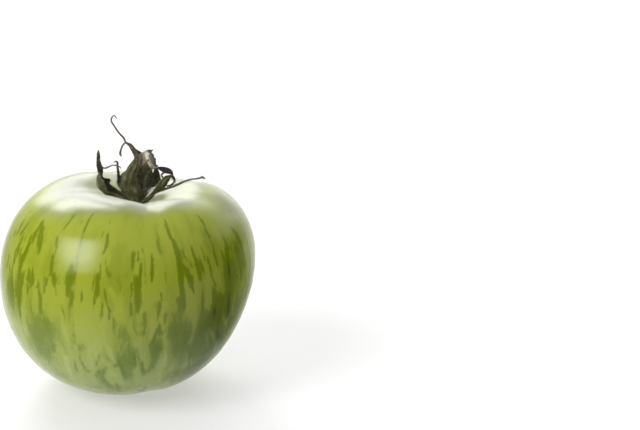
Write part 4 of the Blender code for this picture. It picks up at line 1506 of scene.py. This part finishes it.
def make_floor(settings):
    """A plain pale floor: a grid far wider than the view, with a faint even grain in its finish."""
    steps = np.linspace(-FLOOR_REACH, FLOOR_REACH, FLOOR_POINTS)
    x, y = np.meshgrid(steps, steps)
    index = np.arange(x.size).reshape(x.shape)
    quads = np.stack([index[:-1, :-1], index[:-1, 1:], index[1:, 1:], index[1:, :-1]], -1)
    mesh = bpy.data.meshes.new("floor")
    points = np.stack([x, y, 0 * x], -1)
    mesh.from_pydata(points.reshape(-1, 3).tolist(), [], quads.reshape(-1, 4).tolist())
    mix = Recipe("pale floor")
    place = mix.node("ShaderNodeTexCoord").outputs["Object"]
    lit = 1.0
    for line, start, end, least in FLOOR_FADES:
        along = mix.vector("DOT_PRODUCT", place, line, "Value")
        lit = mix.times(mix.step(along, start, end, least), lit)
    floor_material = mix.finish(
        Base_Color=mix.blend(lit, BLACK, settings.floor),
        Roughness=mix.step(mix.noise(place, (40, 40, 40)), 0.0, 1.0, 0.55, 0.65),
        Emission_Color=WHITE,
        Emission_Strength=mix.times(lit, settings.glow),
    )
    mesh.materials.append(floor_material)
    linked("floor", mesh)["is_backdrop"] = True


def make_lights(settings):
    """The white surround, whose strength is a product and sum of smooth ramps, and the lamps."""
    world = bpy.data.worlds.new("surround")
    world.use_nodes = True
    mix = Nodes(world.node_tree)
    sky = mix.tree.nodes["Background"]
    way = mix.node("ShaderNodeTexCoord").outputs["Generated"]
    parts = mix.node("ShaderNodeSeparateXYZ", {0: way}).outputs
    strength = settings.surround
    for axis, low, high, least, most, joined in SURROUND:
        strength = mix.math(joined, mix.step(parts[axis], low, high, least, most), strength)
    mix.set(sky.inputs["Strength"], strength)
    mix.set(sky.inputs["Color"], WHITE)
    bpy.context.scene.world = world
    for lamp in LAMPS:
        soft_lamp(*lamp)
    bpy.context.scene.view_settings.view_transform = "Standard"


# Operators and panel.


class TOMATO_OT_skin(bpy.types.Operator):
    """Make the fruit's striped skin"""

    bl_idname = "tomato.skin"
    bl_label = "Striped skin"

    def execute(self, context):
        make_skin(context.scene.tomato_fruit)
        return {"FINISHED"}


class TOMATO_OT_stub(bpy.types.Operator):
    """Make the stub of stalk and its torn end"""

    bl_idname = "tomato.stub"
    bl_label = "Stub of stalk"

    def execute(self, context):
        make_stub(context.scene.tomato_calyx)
        return {"FINISHED"}


class TOMATO_OT_sepals(bpy.types.Operator):
    """Make the withered sepals"""

    bl_idname = "tomato.sepals"
    bl_label = "Sepals"

    def execute(self, context):
        make_sepals(context.scene.tomato_calyx)
        return {"FINISHED"}


class TOMATO_OT_hairs(bpy.types.Operator):
    """Make the short hairs on the stub and the sepals"""

    bl_idname = "tomato.hairs"
    bl_label = "Hairs"

    def execute(self, context):
        make_hairs(context.scene.tomato_calyx)
        return {"FINISHED"}


class TOMATO_OT_stage(bpy.types.Operator):
    """Make the floor, the lamps and the camera"""

    bl_idname = "tomato.stage"
    bl_label = "Stage"

    def execute(self, context):
        settings = context.scene.tomato_stage
        make_camera(settings)
        make_floor(settings)
        make_lights(settings)
        return {"FINISHED"}


class TOMATO_PT_panel(bpy.types.Panel):
    """The builder's steps and settings"""

    bl_idname = "TOMATO_PT_panel"
    bl_label = "Striped Tomato"
    bl_space_type = "VIEW_3D"
    bl_region_type = "UI"
    bl_category = "Tomato"

    def draw(self, context):
        for group, steps in (
            (context.scene.tomato_fruit, ("tomato.skin",)),
            (context.scene.tomato_calyx, ("tomato.stub", "tomato.sepals", "tomato.hairs")),
            (context.scene.tomato_stage, ("tomato.stage",)),
        ):
            box = self.layout.box()
            for key in group.bl_rna.properties.keys():
                if key not in ("rna_type", "name"):
                    box.prop(group, key)
            for step in steps:
                box.operator(step)


CLASSES = (
    FruitSettings,
    CalyxSettings,
    StageSettings,
    TOMATO_OT_skin,
    TOMATO_OT_stub,
    TOMATO_OT_sepals,
    TOMATO_OT_hairs,
    TOMATO_OT_stage,
    TOMATO_PT_panel,
)


def register():
    """Register the classes and hang the settings on the scene."""
    for each in CLASSES:
        bpy.utils.register_class(each)
    bpy.types.Scene.tomato_fruit = PointerProperty(type=FruitSettings)
    bpy.types.Scene.tomato_calyx = PointerProperty(type=CalyxSettings)
    bpy.types.Scene.tomato_stage = PointerProperty(type=StageSettings)


def unregister():
    """Take the settings and the classes away again."""
    del bpy.types.Scene.tomato_fruit
    del bpy.types.Scene.tomato_calyx
    del bpy.types.Scene.tomato_stage
    for each in reversed(CLASSES):
        bpy.utils.unregister_class(each)


def main():
    """Build everything in order."""
    register()
    steps = bpy.ops.tomato
    for step in (steps.stage, steps.skin, steps.stub, steps.sepals, steps.hairs):
        if step() != {"FINISHED"}:
            raise RuntimeError("a step of the tomato didn't finish")
    boxes = {"cad": CAD_BOX, "visual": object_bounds()}
    {key: [list(corner) for corner in box] for key, box in boxes.items()}


if __name__ == "__main__":
    main()
